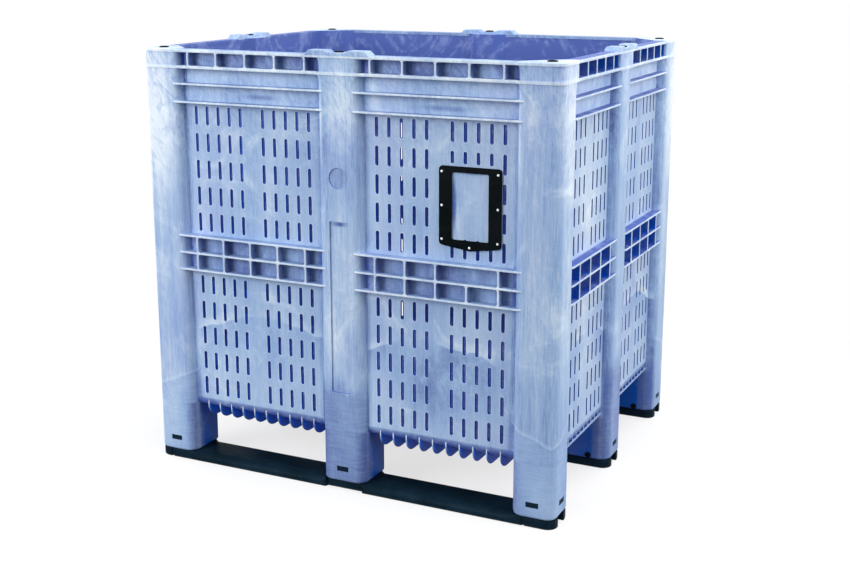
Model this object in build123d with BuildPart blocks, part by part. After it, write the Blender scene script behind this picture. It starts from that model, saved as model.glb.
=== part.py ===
"""Ventilated pallet box: slotted walls between hollow posts, nine feet and three snap-in runners.

The origin is on the floor under the middle of the box, +X runs along the long walls, +Y from the front
wall to the rear wall and +Z up. Sizes are in millimetres.
"""

import os

from build123d import *

os.makedirs("parts", exist_ok=True)

# Overall size
box_length = 1200
box_width = 1000
rim_height = 1160

# Wall skin, ribs and rim
panel_recess = 27  # wall skin behind the faces of the posts and the rim
skin_thickness = 6
panel_bottom = 168
rib_thickness = 6
rim_flange = 8
rim_cell_height = 35
band_drop = 92  # upper rib of the band below the rim
band_spacing = 48
belt_height = 608  # middle rib of the belt
belt_row = 47
long_rim_ribs = 5
long_rim_end = 28.5  # last rib of a rim to the post
short_rim_ribs = 4
short_rim_end = 58.5
long_belt_ribs = 5
short_belt_ribs = 4
belt_end = 37.5

# Slots
slot_width = 9
slot_length = 62
slot_pitch = 58
slot_row_pitch = 91
slot_margin = 20  # clear skin beside the posts
sill_height = 12  # clear skin above the panel's lower edge

# Posts
corner_size = 120
corner_radius = 26
long_post_width = 130
short_post_width = 120
post_lean = 12  # a flank leans out this far from the face to the skin
post_edge_radius = 28
hollow_bevel = 0.6  # bevel of a hollow's corner, as a share of the rounding outside it
post_depth = 58
post_inner_flat = 60
post_wall = 5
post_web = 8

# Crown on the middle posts
crown_half_length = 92
crown_bevel = 12
crown_lug_start = 34
crown_slope = 8
crown_saddle = 6
crown_lug = 11

# Feet
foot_bottom = 25
foot_depth = 120
foot_wall = 6
foot_inner_bevel = 8
middle_foot_width = 116
window_width = 35
window_height = 13
window_level = 61

# Floor deck
deck_thickness = 8
deck_rib = 5
deck_rib_drop = 40
deck_rib_pitch = 38
deck_rib_round = 40

# Runners
runner_width = 114
runner_end_gap = 3
runner_radius = 26
runner_bevel = 12
notch_depth = 14
notch_width = 40
middle_notch_width = 110
spigot_size = 70
spigot_height = 60
spigot_clearance = 1
lug_width = 30
lug_height = 10
lug_setback = 3

# Pins, plugs and label frame
pin_radius = 8.5
pin_head = 3
pin_level = 36
round_sides = 8  # pins, plugs and rivets are drawn with this many sides
plug_radius = 13
plug_height = 3
corner_plug_inset = 44
middle_plug_inset = 17
label_width = 167
label_height = 197
label_point = 12  # the lower edge runs down to a blunt point
label_radius = 10
label_thickness = 5
label_window_width = 99
label_window_height = 169
label_window_low = 14
label_offset = 84  # label frame from the middle of its panel
label_rise = 32  # point of the label frame above the belt
rivet_radius = 4.6
rivet_head = 2
rivet_inset = 8.5
rivet_end = 14

# Worked out from the sizes above
half_length = box_length / 2
half_width = box_width / 2
wall_depth = panel_recess + skin_thickness
rim_low = rim_height - 2 * rim_flange - rim_cell_height
band_low = rim_height - band_drop - band_spacing
belt_low = belt_height - belt_row
belt_high = belt_height + belt_row
long_bay = half_length - corner_size - long_post_width / 2
short_bay = half_width - corner_size - short_post_width / 2
long_bay_middle = (half_length - corner_size + long_post_width / 2) / 2
short_bay_middle = (half_width - corner_size + short_post_width / 2) / 2

walls = {
    "front": Plane.front.offset(half_width),
    "rear": Plane.back.offset(half_width),
    "left": Plane.left.offset(half_length),
    "right": Plane.right.offset(half_length),
}
wall_halves = {"front": half_length, "rear": half_length, "left": half_width, "right": half_width}


def wall_plan(name):
    """Floor plane of a wall: X along the wall, Y into the box, from the middle of the wall."""
    wall = walls[name]
    return Plane(origin=wall.origin, x_dir=wall.x_dir, z_dir=(0, 0, 1))


def corner_plan(x_side, y_side):
    """Floor plane of a corner: both axes run from the outer corner along the walls."""
    x_dir = (-x_side, 0, 0) if x_side == y_side else (0, -y_side, 0)
    return Plane(origin=(x_side * half_length, y_side * half_width, 0), x_dir=x_dir, z_dir=(0, 0, 1))


def save(builder, name):
    """Label a finished piece and write it to its own file."""
    builder.part.label = name
    export_step(builder.part, f"parts/{name}.step")


def spread(centre, width, end, count):
    """Places of evenly spaced ribs across a bay."""
    step = (width - 2 * end) / (count - 1)
    return [centre - width / 2 + end + step * i for i in range(count)]


def slot_places(centre, bay):
    """Places of the slots of one panel, with the middle column left out."""
    columns = int((bay / 2 - slot_margin) / slot_pitch)
    across = [k * slot_pitch for k in range(-columns, columns + 1) if k]
    slot_gap = slot_row_pitch - slot_length
    places = []
    for low, high in ((panel_bottom + sill_height, belt_low), (belt_high, band_low)):
        rows = int((high - low - rib_thickness + slot_gap) / slot_row_pitch)
        levels = [(low + high) / 2 + (row - (rows - 1) / 2) * slot_row_pitch for row in range(rows)]
        places += [(centre + x, level) for level in levels for x in across]
    return places


def clear_of_label(place, label_place):
    """True where a slot stays clear of the label frame."""
    beside = abs(place[0] - label_place[0]) > (label_width + slot_width) / 2
    above = abs(place[1] - label_place[1]) > (label_height + slot_length) / 2 + label_point
    return beside or above


# Wall panels: slotted skin, rim of open cells, upper band and belt
def wall_panel(wall_name, side, label_place=None):
    """One panel, between the middle post and the corner post on one side of a wall."""
    on_long_wall = wall_name in ("front", "rear")
    bay = long_bay if on_long_wall else short_bay
    centre = side * (long_bay_middle if on_long_wall else short_bay_middle)
    rim_ribs = long_rim_ribs if on_long_wall else short_rim_ribs
    rim_end = long_rim_end if on_long_wall else short_rim_end
    belt_ribs = long_belt_ribs if on_long_wall else short_belt_ribs
    skin_face = walls[wall_name].offset(-panel_recess)
    plan = wall_plan(wall_name)
    places = slot_places(centre, bay)
    if label_place:
        places = [place for place in places if clear_of_label(place, label_place)]

    flange_levels = [rim_height - rim_flange / 2, rim_low + rim_flange / 2]
    rib_levels = [band_low + band_spacing, band_low, belt_high, belt_height, belt_low]
    with BuildPart() as panel:
        for levels, thickness in ((flange_levels, rim_flange), (rib_levels, rib_thickness)):
            with BuildSketch(*[plan.offset(level - thickness / 2) for level in levels]):
                with BuildLine():
                    Polyline(
                        (centre - bay / 2, panel_recess),
                        (centre - bay / 2 - post_lean, 0),
                        (centre + bay / 2 + post_lean, 0),
                        (centre + bay / 2, panel_recess),
                        close=True,
                    )
                make_face()
            extrude(amount=thickness)
        with BuildSketch(skin_face):
            with Locations(*[(x, rim_low) for x in spread(centre, bay, rim_end, rim_ribs)]):
                Rectangle(rib_thickness, rim_height - rim_low, align=(Align.CENTER, Align.MIN))
            with Locations(*[(x, belt_low) for x in spread(centre, bay, belt_end, belt_ribs)]):
                Rectangle(rib_thickness, 2 * belt_row, align=(Align.CENTER, Align.MIN))
        extrude(amount=panel_recess)
        with BuildSketch(skin_face):
            with Locations((centre, (panel_bottom + rim_height) / 2)):
                Rectangle(bay, rim_height - panel_bottom)
            with Locations(*places):
                Rectangle(slot_width, slot_length, mode=Mode.SUBTRACT)
        extrude(amount=-skin_thickness)
    return panel


label_foot = belt_high + rib_thickness / 2 + label_rise + label_point
label_place = (long_bay_middle + label_offset, label_foot + label_height / 2)
for wall_name in walls:
    near, far = ("left", "right") if wall_name == "front" else ("right", "left")
    if wall_name in ("left", "right"):
        near, far = ("front", "rear") if wall_name == "right" else ("rear", "front")
    save(wall_panel(wall_name, -1), f"panel_{wall_name}_{near}")
    has_label = wall_name == "front"
    save(wall_panel(wall_name, 1, label_place if has_label else None), f"panel_{wall_name}_{far}")


corner_face = corner_size - post_lean
corner_edges = [
    ((0, 0), corner_radius),
    ((corner_face, 0), post_edge_radius),
    ((0, corner_face), post_edge_radius),
]
corners = {"front_left": (-1, -1), "front_right": (1, -1), "rear_left": (-1, 1), "rear_right": (1, 1)}
post_widths = {
    "front": long_post_width,
    "rear": long_post_width,
    "left": short_post_width,
    "right": short_post_width,
}


# Posts: hollow, from the tops of the feet to the rim, with leaning flanks
def hollow_post(plan, points, edges, crown_wall=None):
    """One post raised from the points of its section; a middle post also has a crown of two lugs."""
    with BuildPart() as post:
        with BuildSketch(plan.offset(panel_bottom)) as section:
            with BuildLine():
                Polyline(*points, close=True)
            make_face()
            for edge, radius in edges:
                fillet(section.vertices().sort_by_distance(edge)[0], radius)
        extrude(amount=rim_height - panel_bottom)
        with BuildSketch(plan.offset(panel_bottom)) as hollow:
            with BuildLine():
                Polyline(*points, close=True)
            make_face()
            for edge, radius in edges:
                chamfer(hollow.vertices().sort_by_distance(edge)[0], hollow_bevel * radius)
            offset(amount=-post_wall, kind=Kind.INTERSECTION, mode=Mode.REPLACE)
        extrude(amount=rim_height - post_web - panel_bottom, mode=Mode.SUBTRACT)
        if crown_wall:
            lug_top = rim_height + crown_lug
            saddle_top = rim_height + crown_saddle
            with BuildSketch(crown_wall):
                with BuildLine():
                    Polyline(
                        (-crown_half_length, rim_height),
                        (-crown_half_length + crown_bevel, lug_top),
                        (-crown_lug_start, lug_top),
                        (-crown_lug_start + crown_slope, saddle_top),
                        (crown_lug_start - crown_slope, saddle_top),
                        (crown_lug_start, lug_top),
                        (crown_half_length - crown_bevel, lug_top),
                        (crown_half_length, rim_height),
                        close=True,
                    )
                make_face()
            extrude(amount=-wall_depth)
    return post


corner_post_points = [
    (0, 0),
    (corner_face, 0),
    (corner_size, panel_recess),
    (corner_size, wall_depth),
    (wall_depth, corner_size),
    (panel_recess, corner_size),
    (0, corner_face),
]
for corner, sides in corners.items():
    save(hollow_post(corner_plan(*sides), corner_post_points, corner_edges), f"corner_post_{corner}")

for wall_name, width in post_widths.items():
    face = width / 2 - post_lean
    points = [
        (-face, 0),
        (face, 0),
        (width / 2, panel_recess),
        (width / 2, wall_depth),
        (post_inner_flat / 2, post_depth),
        (-post_inner_flat / 2, post_depth),
        (-width / 2, wall_depth),
        (-width / 2, panel_recess),
    ]
    edges = [((-face, 0), post_edge_radius), ((face, 0), post_edge_radius)]
    save(hollow_post(wall_plan(wall_name), points, edges, walls[wall_name]), f"mid_post_{wall_name}")


# The outer corner of a corner foot's hollow is cut off just clear of the runner's spigot
foot_hollow_bevel = corner_size - spigot_size - (foot_wall + spigot_clearance) * 2**0.5


# Feet: hollow blocks under the posts and the middle of the deck, open at the bottom
def hollow_foot(plan, points, edges, inner_corners):
    """One foot raised from the points of its section, with windows for the runners' lugs."""
    with BuildPart() as foot:
        with BuildSketch(plan.offset(foot_bottom)) as section:
            with BuildLine():
                Polyline(*points, close=True)
            make_face()
            for edge, radius in edges:
                fillet(section.vertices().sort_by_distance(edge)[0], radius)
            for place in inner_corners:
                chamfer(section.vertices().sort_by_distance(place)[0], foot_inner_bevel)
        extrude(amount=panel_bottom - foot_bottom)
        with BuildSketch(plan.offset(foot_bottom)) as hollow:
            with BuildLine():
                Polyline(*points, close=True)
            make_face()
            for edge, radius in edges:
                at_corner = edge == (0, 0)
                bevel = foot_hollow_bevel if at_corner else hollow_bevel * radius
                chamfer(hollow.vertices().sort_by_distance(edge)[0], bevel)
            offset(amount=-foot_wall, kind=Kind.INTERSECTION, mode=Mode.REPLACE)
        extrude(amount=panel_bottom - foot_bottom - post_web, mode=Mode.SUBTRACT)
        for wall_name, wall in walls.items():
            corner_middle = wall_halves[wall_name] - corner_size / 2
            with BuildSketch(wall):
                with Locations(*[(x, window_level) for x in (-corner_middle, 0, corner_middle)]):
                    Rectangle(window_width, window_height)
            extrude(amount=-foot_wall - post_lean, mode=Mode.SUBTRACT)
    return foot


corner_foot_points = [
    (0, 0),
    (corner_face, 0),
    (corner_size, panel_recess),
    (corner_size, corner_size),
    (panel_recess, corner_size),
    (0, corner_face),
]
corner_foot_inner = [(corner_size, corner_size)]
for corner, sides in corners.items():
    plan = corner_plan(*sides)
    save(hollow_foot(plan, corner_foot_points, corner_edges, corner_foot_inner), f"foot_{corner}")

foot_names = {
    "front": "foot_front_middle",
    "rear": "foot_rear_middle",
    "left": "foot_middle_left",
    "right": "foot_middle_right",
}
for wall_name, width in post_widths.items():
    face = width / 2 - post_lean
    points = [
        (-face, 0),
        (face, 0),
        (width / 2, panel_recess),
        (width / 2, foot_depth),
        (-width / 2, foot_depth),
        (-width / 2, panel_recess),
    ]
    edges = [((x, 0), post_edge_radius) for x in (-face, face)]
    inner_corners = [(x, foot_depth) for x in (-width / 2, width / 2)]
    save(hollow_foot(wall_plan(wall_name), points, edges, inner_corners), foot_names[wall_name])

half_foot_length = long_post_width / 2
half_foot_width = middle_foot_width / 2
centre_foot_points = [
    (-half_foot_length, -half_foot_width),
    (half_foot_length, -half_foot_width),
    (half_foot_length, half_foot_width),
    (-half_foot_length, half_foot_width),
]
save(hollow_foot(Plane.XY, centre_foot_points, [], centre_foot_points), "foot_centre")


# Floor deck: a plate cut round the posts, with ribs under it that show below the long walls
with BuildPart() as floor_deck:
    with BuildSketch(Plane.XY.offset(panel_bottom)) as plate:
        Rectangle(box_length - 2 * wall_depth, box_width - 2 * wall_depth)
        chamfer(plate.vertices(), corner_size - wall_depth)
    extrude(amount=deck_thickness)
    for wall_name, width in post_widths.items():
        with BuildSketch(wall_plan(wall_name).offset(panel_bottom)):
            with BuildLine():
                Polyline(
                    (-width / 2, wall_depth),
                    (width / 2, wall_depth),
                    (post_inner_flat / 2, post_depth),
                    (-post_inner_flat / 2, post_depth),
                    close=True,
                )
            make_face()
        extrude(amount=deck_thickness, mode=Mode.SUBTRACT)
    rib_reach = half_width - panel_recess
    ribs_per_bay = int(long_bay / deck_rib_pitch)
    rib_row = (ribs_per_bay - 1) * deck_rib_pitch
    rib_places = [long_bay_middle - rib_row / 2 + i * deck_rib_pitch for i in range(ribs_per_bay)]
    for x in rib_places + [-place for place in rib_places]:
        with BuildSketch(Plane.YZ.offset(x)):
            with BuildLine():
                Polyline(
                    (-rib_reach, panel_bottom),
                    (-rib_reach + deck_rib_round, panel_bottom - deck_rib_drop),
                    (rib_reach - deck_rib_round, panel_bottom - deck_rib_drop),
                    (rib_reach, panel_bottom),
                    close=True,
                )
            make_face()
        extrude(amount=deck_rib / 2, both=True)
save(floor_deck, "floor_deck")


# Runners: bars under the rows of feet, with spigots and lugs that snap into the feet
def runner(row_place, outer_wall):
    """One runner; a runner of an outer row also has lugs along its outer edge."""
    foot_places = [-half_length + corner_size / 2, 0, half_length - corner_size / 2]
    outer_side = 0 if row_place == 0 else row_place / abs(row_place)
    edge = row_place + outer_side * runner_width / 2
    end = half_length - runner_end_gap
    with BuildPart() as bar:
        with BuildSketch():
            with Locations((0, row_place)):
                RectangleRounded(box_length - 2 * runner_end_gap, runner_width, runner_radius)
            with Locations((-end, row_place), (end, row_place)):
                Rectangle(2 * notch_depth, notch_width, mode=Mode.SUBTRACT)
            if outer_wall:
                with Locations((foot_places[0], edge), (foot_places[2], edge)):
                    Rectangle(notch_width, 2 * notch_depth, mode=Mode.SUBTRACT)
                with Locations((0, edge)):
                    Rectangle(middle_notch_width, 2 * notch_depth, mode=Mode.SUBTRACT)
        extrude(amount=foot_bottom)
        for y_side in (-1, 1):
            edge_place = row_place + y_side * runner_width / 2
            for bay_middle in (-long_bay_middle, long_bay_middle):
                with BuildSketch(Plane.YZ.offset(bay_middle)):
                    with BuildLine():
                        Polyline(
                            (edge_place, foot_bottom),
                            (edge_place - y_side * runner_bevel, foot_bottom),
                            (edge_place, foot_bottom - runner_bevel),
                            close=True,
                        )
                    make_face()
                extrude(amount=long_bay / 2, both=True, mode=Mode.SUBTRACT)
        with BuildSketch(Plane.XY.offset(foot_bottom)):
            with Locations(*[(x, row_place) for x in foot_places]):
                Rectangle(spigot_size, spigot_size)
        extrude(amount=spigot_height)
        lug_length = (foot_depth - spigot_size) / 2 - lug_setback
        for side_wall, along in (("left", -row_place), ("right", row_place)):
            with BuildSketch(walls[side_wall].offset(-lug_setback)):
                with Locations((along, window_level)):
                    Rectangle(lug_width, lug_height)
            extrude(amount=-lug_length)
        if outer_wall:
            with BuildSketch(walls[outer_wall].offset(-lug_setback)):
                with Locations(*[(x, window_level) for x in foot_places]):
                    Rectangle(lug_width, lug_height)
            extrude(amount=-lug_length)
    return bar


row_depth = half_width - foot_depth / 2
save(runner(-row_depth, "front"), "runner_front")
save(runner(0, None), "runner_middle")
save(runner(row_depth, "rear"), "runner_rear")


# Pins that hold the runners, in the flanks of the feet beside the fork ways
with BuildPart() as runner_pins:
    column_places = [-half_length + corner_size / 2, 0, half_length - corner_size / 2]
    front_flank = Plane.back.offset(foot_depth - half_width)
    middle_flank = Plane.front.offset(short_post_width / 2)
    centre_flank = Plane.front.offset(middle_foot_width / 2)
    rear_flank = Plane.front.offset(foot_depth - half_width)
    for flank, columns in (
        (front_flank, column_places),
        (middle_flank, (column_places[0], column_places[2])),
        (centre_flank, (column_places[1],)),
        (rear_flank, column_places),
    ):
        with BuildSketch(flank):
            with Locations(*[(x, pin_level) for x in columns]):
                RegularPolygon(pin_radius, round_sides)
        extrude(amount=pin_head)
save(runner_pins, "runner_pins")


# Plugs on top of the posts
def plug(plan, place, level):
    """One round plug, standing on the web of its post."""
    with BuildPart() as cap:
        with BuildSketch(plan.offset(level)):
            with Locations(place):
                RegularPolygon(plug_radius, round_sides)
        extrude(amount=plug_height)
    return cap


for corner, (x_side, y_side) in corners.items():
    place = (corner_plug_inset, corner_plug_inset)
    save(plug(corner_plan(x_side, y_side), place, rim_height), f"plug_{corner}")
for wall_name in walls:
    save(plug(wall_plan(wall_name), (0, middle_plug_inset), rim_height + crown_saddle), f"plug_{wall_name}")


# Label frame on the right panel of the front wall, and its rivets
label_face = walls["front"].offset(-panel_recess)
label_high = label_foot + label_height
label_left = label_place[0] - label_width / 2
label_right = label_place[0] + label_width / 2

with BuildPart() as label_frame:
    with BuildSketch(label_face) as outline:
        with BuildLine():
            Polyline(
                (label_left, label_high),
                (label_left, label_foot),
                (label_place[0], label_foot - label_point),
                (label_right, label_foot),
                (label_right, label_high),
                close=True,
            )
        make_face()
        fillet(outline.vertices(), label_radius)
        with Locations((label_place[0], label_foot + label_window_low)):
            window_align = (Align.CENTER, Align.MIN)
            Rectangle(label_window_width, label_window_height, align=window_align, mode=Mode.SUBTRACT)
    extrude(amount=label_thickness)
save(label_frame, "label_frame")

with BuildPart() as label_rivets:
    with BuildSketch(label_face.offset(label_thickness)):
        for x in (label_left + rivet_inset, label_right - rivet_inset):
            for level in (label_foot + rivet_end, label_place[1], label_high - rivet_end):
                with Locations((x, level)):
                    RegularPolygon(rivet_radius, round_sides)
        with Locations((label_place[0], label_foot)):
            RegularPolygon(rivet_radius, round_sides)
    extrude(amount=rivet_head)
save(label_rivets, "label_rivets")
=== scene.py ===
"""Looks of a tall ventilated pallet box: slotted walls, hollow legs, ribbed deck, black runners and fittings.

All sizes are in metres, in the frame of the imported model: +X along the long walls, +Y from the front wall to
the rear wall, +Z up, with the origin on the floor under the middle of the box.
"""

import math

import bmesh
import bpy
from bpy.props import FloatProperty, FloatVectorProperty, IntProperty, PointerProperty
from mathutils import Matrix, Vector


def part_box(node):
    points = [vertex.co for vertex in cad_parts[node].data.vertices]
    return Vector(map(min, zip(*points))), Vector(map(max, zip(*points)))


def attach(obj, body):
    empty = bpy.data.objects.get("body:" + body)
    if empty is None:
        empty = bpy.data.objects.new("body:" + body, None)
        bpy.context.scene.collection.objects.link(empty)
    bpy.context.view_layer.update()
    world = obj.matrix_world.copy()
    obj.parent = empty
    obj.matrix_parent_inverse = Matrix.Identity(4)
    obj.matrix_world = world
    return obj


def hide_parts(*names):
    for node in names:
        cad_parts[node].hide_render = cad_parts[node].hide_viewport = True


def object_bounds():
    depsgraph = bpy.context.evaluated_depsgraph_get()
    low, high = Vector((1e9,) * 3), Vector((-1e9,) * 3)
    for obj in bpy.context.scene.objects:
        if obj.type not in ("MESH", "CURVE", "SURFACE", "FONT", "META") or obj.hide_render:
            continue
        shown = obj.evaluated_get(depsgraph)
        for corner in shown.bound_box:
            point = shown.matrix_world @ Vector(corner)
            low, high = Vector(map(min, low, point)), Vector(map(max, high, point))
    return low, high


bl_info = {
    "name": "Harvest Box Looks",
    "version": (1, 0, 0),
    "blender": (4, 5, 0),
    "location": "View3D > Sidebar > Harvest Box",
    "description": "Builds the visible pieces of a ventilated pallet box round its packed model",
    "category": "Object",
}

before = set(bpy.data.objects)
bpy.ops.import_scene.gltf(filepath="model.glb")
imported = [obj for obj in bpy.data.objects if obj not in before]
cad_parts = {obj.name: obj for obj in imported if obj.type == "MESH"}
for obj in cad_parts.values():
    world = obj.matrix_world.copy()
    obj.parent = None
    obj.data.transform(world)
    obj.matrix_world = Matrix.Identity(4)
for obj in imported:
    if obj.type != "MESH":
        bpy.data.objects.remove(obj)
cad_low, cad_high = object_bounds()
half_length = cad_high.x
half_width = cad_high.y
panel_low, panel_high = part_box("panel_front_left")
short_panel_low, short_panel_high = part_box("panel_right_front")
deck_low, deck_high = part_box("floor_deck")
runner_low, runner_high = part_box("runner_front")
label_low, label_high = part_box("label_frame")
foot_low, foot_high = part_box("foot_front_left")


def size(name, description, value):
    """A length that a user may change."""
    return FloatProperty(
        name=name, description=description, default=value, unit="LENGTH", subtype="DISTANCE"
    )


def tint(name, description, value):
    """A colour that a user may change."""
    return FloatVectorProperty(
        name=name, description=description, default=value, subtype="COLOR", min=0, max=1
    )


def number(name, description, value):
    """A number of repeats that a user may change."""
    return IntProperty(name=name, description=description, default=value, min=1)


class WallSizes(bpy.types.PropertyGroup):
    """Sizes of the slotted wall panels."""

    recess: size("Recess", "Wall skin behind the faces of the posts", 0.027)
    skin: size("Skin", "Thickness of the wall skin", 0.0075)
    lean: size("Lean", "How far a post's flank leans out from its face to the skin", 0.012)
    rib: size("Rib", "Thickness of the ribs", 0.0052)
    flange: size("Flange", "Thickness of the rim's two flanges", 0.008)
    cell_height: size("Cell height", "Clear height of the rim's cells", 0.035)
    cell_radius: size("Cell radius", "Rounding of the corners of a cell", 0.006)
    edge: size("Edge", "Rounding of the front edges of the ribs", 0.0016)
    run_out: size("Run-out", "How far a rib runs out over the edge of a post", 0.014)
    run_out_sink: size("Run-out sink", "Depth to which a thin rib's run-out sinks", 0.0045)
    lip: size("Lip", "How far the rim stands in from the inside of the skin", 0.0015)
    band_drop: size("Band drop", "Upper rib of the band below the rim", 0.092)
    band_spacing: size("Band spacing", "Distance between the two ribs of the band", 0.048)
    belt_level: size("Belt level", "Middle rib of the belt above the floor", 0.608)
    belt_row: size("Belt row", "Height of a row of the belt", 0.047)
    belt_end: size("Belt end", "Last upright rib of the belt to the post", 0.0375)
    long_rim_end: size("Long rim end", "Last upright rib of a long wall's rim to the post", 0.0285)
    short_rim_end: size("Short rim end", "Last upright rib of a short wall's rim to the post", 0.0585)
    slot_width: size("Slot width", "Width of a slot", 0.0096)
    slot_length: size("Slot length", "Length of a slot", 0.0515)
    slot_rim: size("Slot rim", "Width of the rubbed rim round a slot", 0.0020)
    row_pitch: size("Row pitch", "Height from one row of slots to the next", 0.0728)
    long_pitch: size("Long pitch", "Distance between slots on a long wall", 0.0348)
    short_pitch: size("Short pitch", "Distance between slots on a short wall", 0.0344)
    sill: size("Sill", "Plain strip under the lowest slots of a panel", 0.0205)
    sill_round: size("Sill rounding", "Rounding of a panel's lower edge", 0.022)
    sill_drop: size("Sill drop", "How far a panel's lower edge hangs below the deck", 0.007)
    slot_rows: number("Slot rows", "Rows of slots above and below the belt", 5)
    long_columns: number("Long columns", "Slots each side of a long panel's middle", 5)
    short_columns: number("Short columns", "Slots each side of a short panel's middle", 4)
    long_ribs: number("Long ribs", "Upright ribs in a cell row of a long panel", 5)
    short_ribs: number("Short ribs", "Upright ribs in a cell row of a short panel", 4)


class LegSizes(bpy.types.PropertyGroup):
    """Sizes of the posts and the feet under them."""

    corner: size("Corner", "Length of a corner post along each wall", 0.120)
    corner_radius: size("Corner radius", "Rounding of the outer corner", 0.026)
    long_post: size("Long post", "Width of a middle post in a long wall", 0.130)
    short_post: size("Short post", "Width of a middle post in a short wall", 0.120)
    edge_radius: size("Edge radius", "Rounding between a post's face and its flank", 0.028)
    depth: size("Depth", "How deep a middle post stands into the box", 0.058)
    inner_flat: size("Inner flat", "Width of a middle post's inner face", 0.060)
    bead: size("Bead", "How far the rim's lines stand out from the posts", 0.0022)
    rim_edge: size("Rim edge", "The same rounding at the rim's flanges", 0.007)
    flare: size("Flare", "How far a post's face widens under the rim", 0.011)
    flare_height: size("Flare height", "Height over which a post's face widens", 0.028)
    foot_depth: size("Foot depth", "Depth of a foot from the outside inwards", 0.120)
    # flank: where the painted shade on a foot's flank starts
    flank: size("Flank", "Depth at which a foot's flank is sheltered", 0.062)
    foot_round: size("Foot rounding", "Rounding of a foot's lower edge", 0.008)
    foot_edge: size("Foot edge", "Rounding of a foot's inner corners", 0.003)
    window_width: size("Window width", "Width of a foot's window", 0.035)
    window_height: size("Window height", "Height of a foot's window", 0.0145)
    window_level: size("Window level", "Middle of a foot's window above the floor", 0.061)
    window_depth: size("Window depth", "Depth of a foot's window", 0.014)
    crown_reach: size("Crown reach", "Half length of a middle post's crown", 0.092)
    crown_bevel: size("Crown bevel", "Slope at the ends of a crown", 0.012)
    crown_start: size("Crown start", "Start of a crown's lug from the middle", 0.034)
    crown_slope: size("Crown slope", "Slope from a lug down to the saddle", 0.008)
    crown_saddle: size("Crown saddle", "Saddle above the rim", 0.006)
    place_radius: size("Round place", "Radius of the round place on the front middle post", 0.0275)
    place_level: size("Round place level", "Round place above the floor", 0.848)
    place_depth: size("Round place depth", "Depth of the round place", 0.0025)
    hollow_width: size("Hollow width", "Width of the shallow hollow in a long wall's middle post", 0.056)
    hollow_low: size("Hollow low", "Lower end of the shallow hollow", 0.275)
    hollow_high: size("Hollow high", "Upper end of the shallow hollow", 0.735)
    hollow_depth: size("Hollow depth", "Depth of the shallow hollow", 0.004)
    hollow_round: size("Hollow rounding", "Rounding of the shallow hollow's corners", 0.003)


class BaseSizes(bpy.types.PropertyGroup):
    """Sizes of the deck, the runners and the small fittings."""

    fin: size("Fin", "Thickness of a rib under the deck", 0.0032)
    fin_edge: size("Fin edge", "Rounding of the edges of a rib under the deck", 0.0012)
    fin_pitch: size("Fin pitch", "Distance between the ribs under the deck", 0.038)
    fin_round: size("Fin rounding", "Length of a rib's rounded end", 0.046)
    fin_start: size("Fin start", "Start of a rib's end above the underside of the deck", 0.004)
    fin_nose: size("Fin nose", "Rise of a rib's end over the wall's rounded lower edge", 0.0145)
    fin_turn: size("Fin turn", "Height at which a rib's end starts to turn under", -0.003)
    fin_drop: size("Fin drop", "How far the ribs hang below the packed deck", 0.002)
    tooth_pitch: size("Tooth pitch", "Distance between the rib ends under a short wall", 0.030)
    tooth_lip: size("Tooth lip", "Thickness of the bar along the lower ends of those ribs", 0.004)
    tooth_drop: size("Tooth drop", "How far those rib ends hang down", 0.0075)
    runner_round: size("Runner rounding", "Rounding of a runner's ends", 0.026)
    runner_bevel: size("Runner bevel", "Rounding along a runner between the feet", 0.014)
    runner_edge: size("Runner edge", "Rounding of a runner's edges at the feet", 0.004)
    notch_depth: size("Notch depth", "Depth of the notch in a runner's edge at the middle foot", 0.010)
    seam_depth: size("Seam depth", "Depth of the seams in a runner's edge at the corners", 0.0035)
    notch_slope: size("Notch slope", "Slope at the ends of a notch", 0.002)
    end_notch: size("End notch", "Depth of the notch in a runner's end", 0.014)
    notch_width: size("Notch width", "Width of the notches in a runner's ends", 0.040)
    edge_notch: size("Seam width", "Width of the seams in a runner's edge at the corners", 0.006)
    left_seam: size("Left seam", "Seam to the left of the middle of the left foot", 0.019)
    right_seam: size("Right seam", "Seam to the left of the middle of the right foot", 0.025)
    middle_notch: size("Middle notch", "Width of the notch at the middle foot", 0.110)
    lug_gap: size("Lug gap", "A runner's lugs behind the faces of the feet", 0.003)
    lug_depth: size("Lug depth", "Half the depth of a lug", 0.008)
    lug_play: size("Lug play", "Play of a lug at each side in its window", 0.0015)
    lug_head_room: size("Lug head room", "Play of a lug above and below in its window", 0.001)
    head_rise: size("Head rise", "How far plugs and pins stand out past the packed ones", 0.0008)
    plug_dome: size("Plug dome", "Height of a plug's dome", 0.003)
    pin_dome: size("Pin dome", "Height of a pin's dome", 0.0028)
    label_point: size("Label point", "Drop of the label frame's lower edge to its point", 0.012)
    label_tip: size("Label tip", "What the rounding takes off the label frame's point", 0.0011)
    label_edge: size("Label edge", "Rounding of the label frame's edges", 0.0009)
    label_round: size("Label rounding", "Rounding of the label frame's corners", 0.010)
    label_window_width: size("Label window width", "Width of the label frame's window", 0.099)
    label_window_height: size("Label window height", "Height of the label frame's window", 0.169)
    label_window_low: size("Label window low", "Window above the label frame's lower corners", 0.014)
    label_window_round: size("Label window rounding", "Rounding of the window's corners", 0.004)
    rivet_radius: size("Rivet radius", "Radius of a rivet's head", 0.0032)
    rivet_rise: size("Rivet rise", "How far rivets stand out past the packed ones", 0.0006)
    rivet_dome: size("Rivet dome", "Height of a rivet's dome", 0.0024)
    rivet_inset: size("Rivet inset", "Rivets from the sides of the label frame", 0.0085)
    rivet_end: size("Rivet end", "Rivets from the ends of the label frame", 0.014)
    rivet_point: size("Rivet point", "Lowest rivet below the label frame's lower corners", 0.003)


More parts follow.
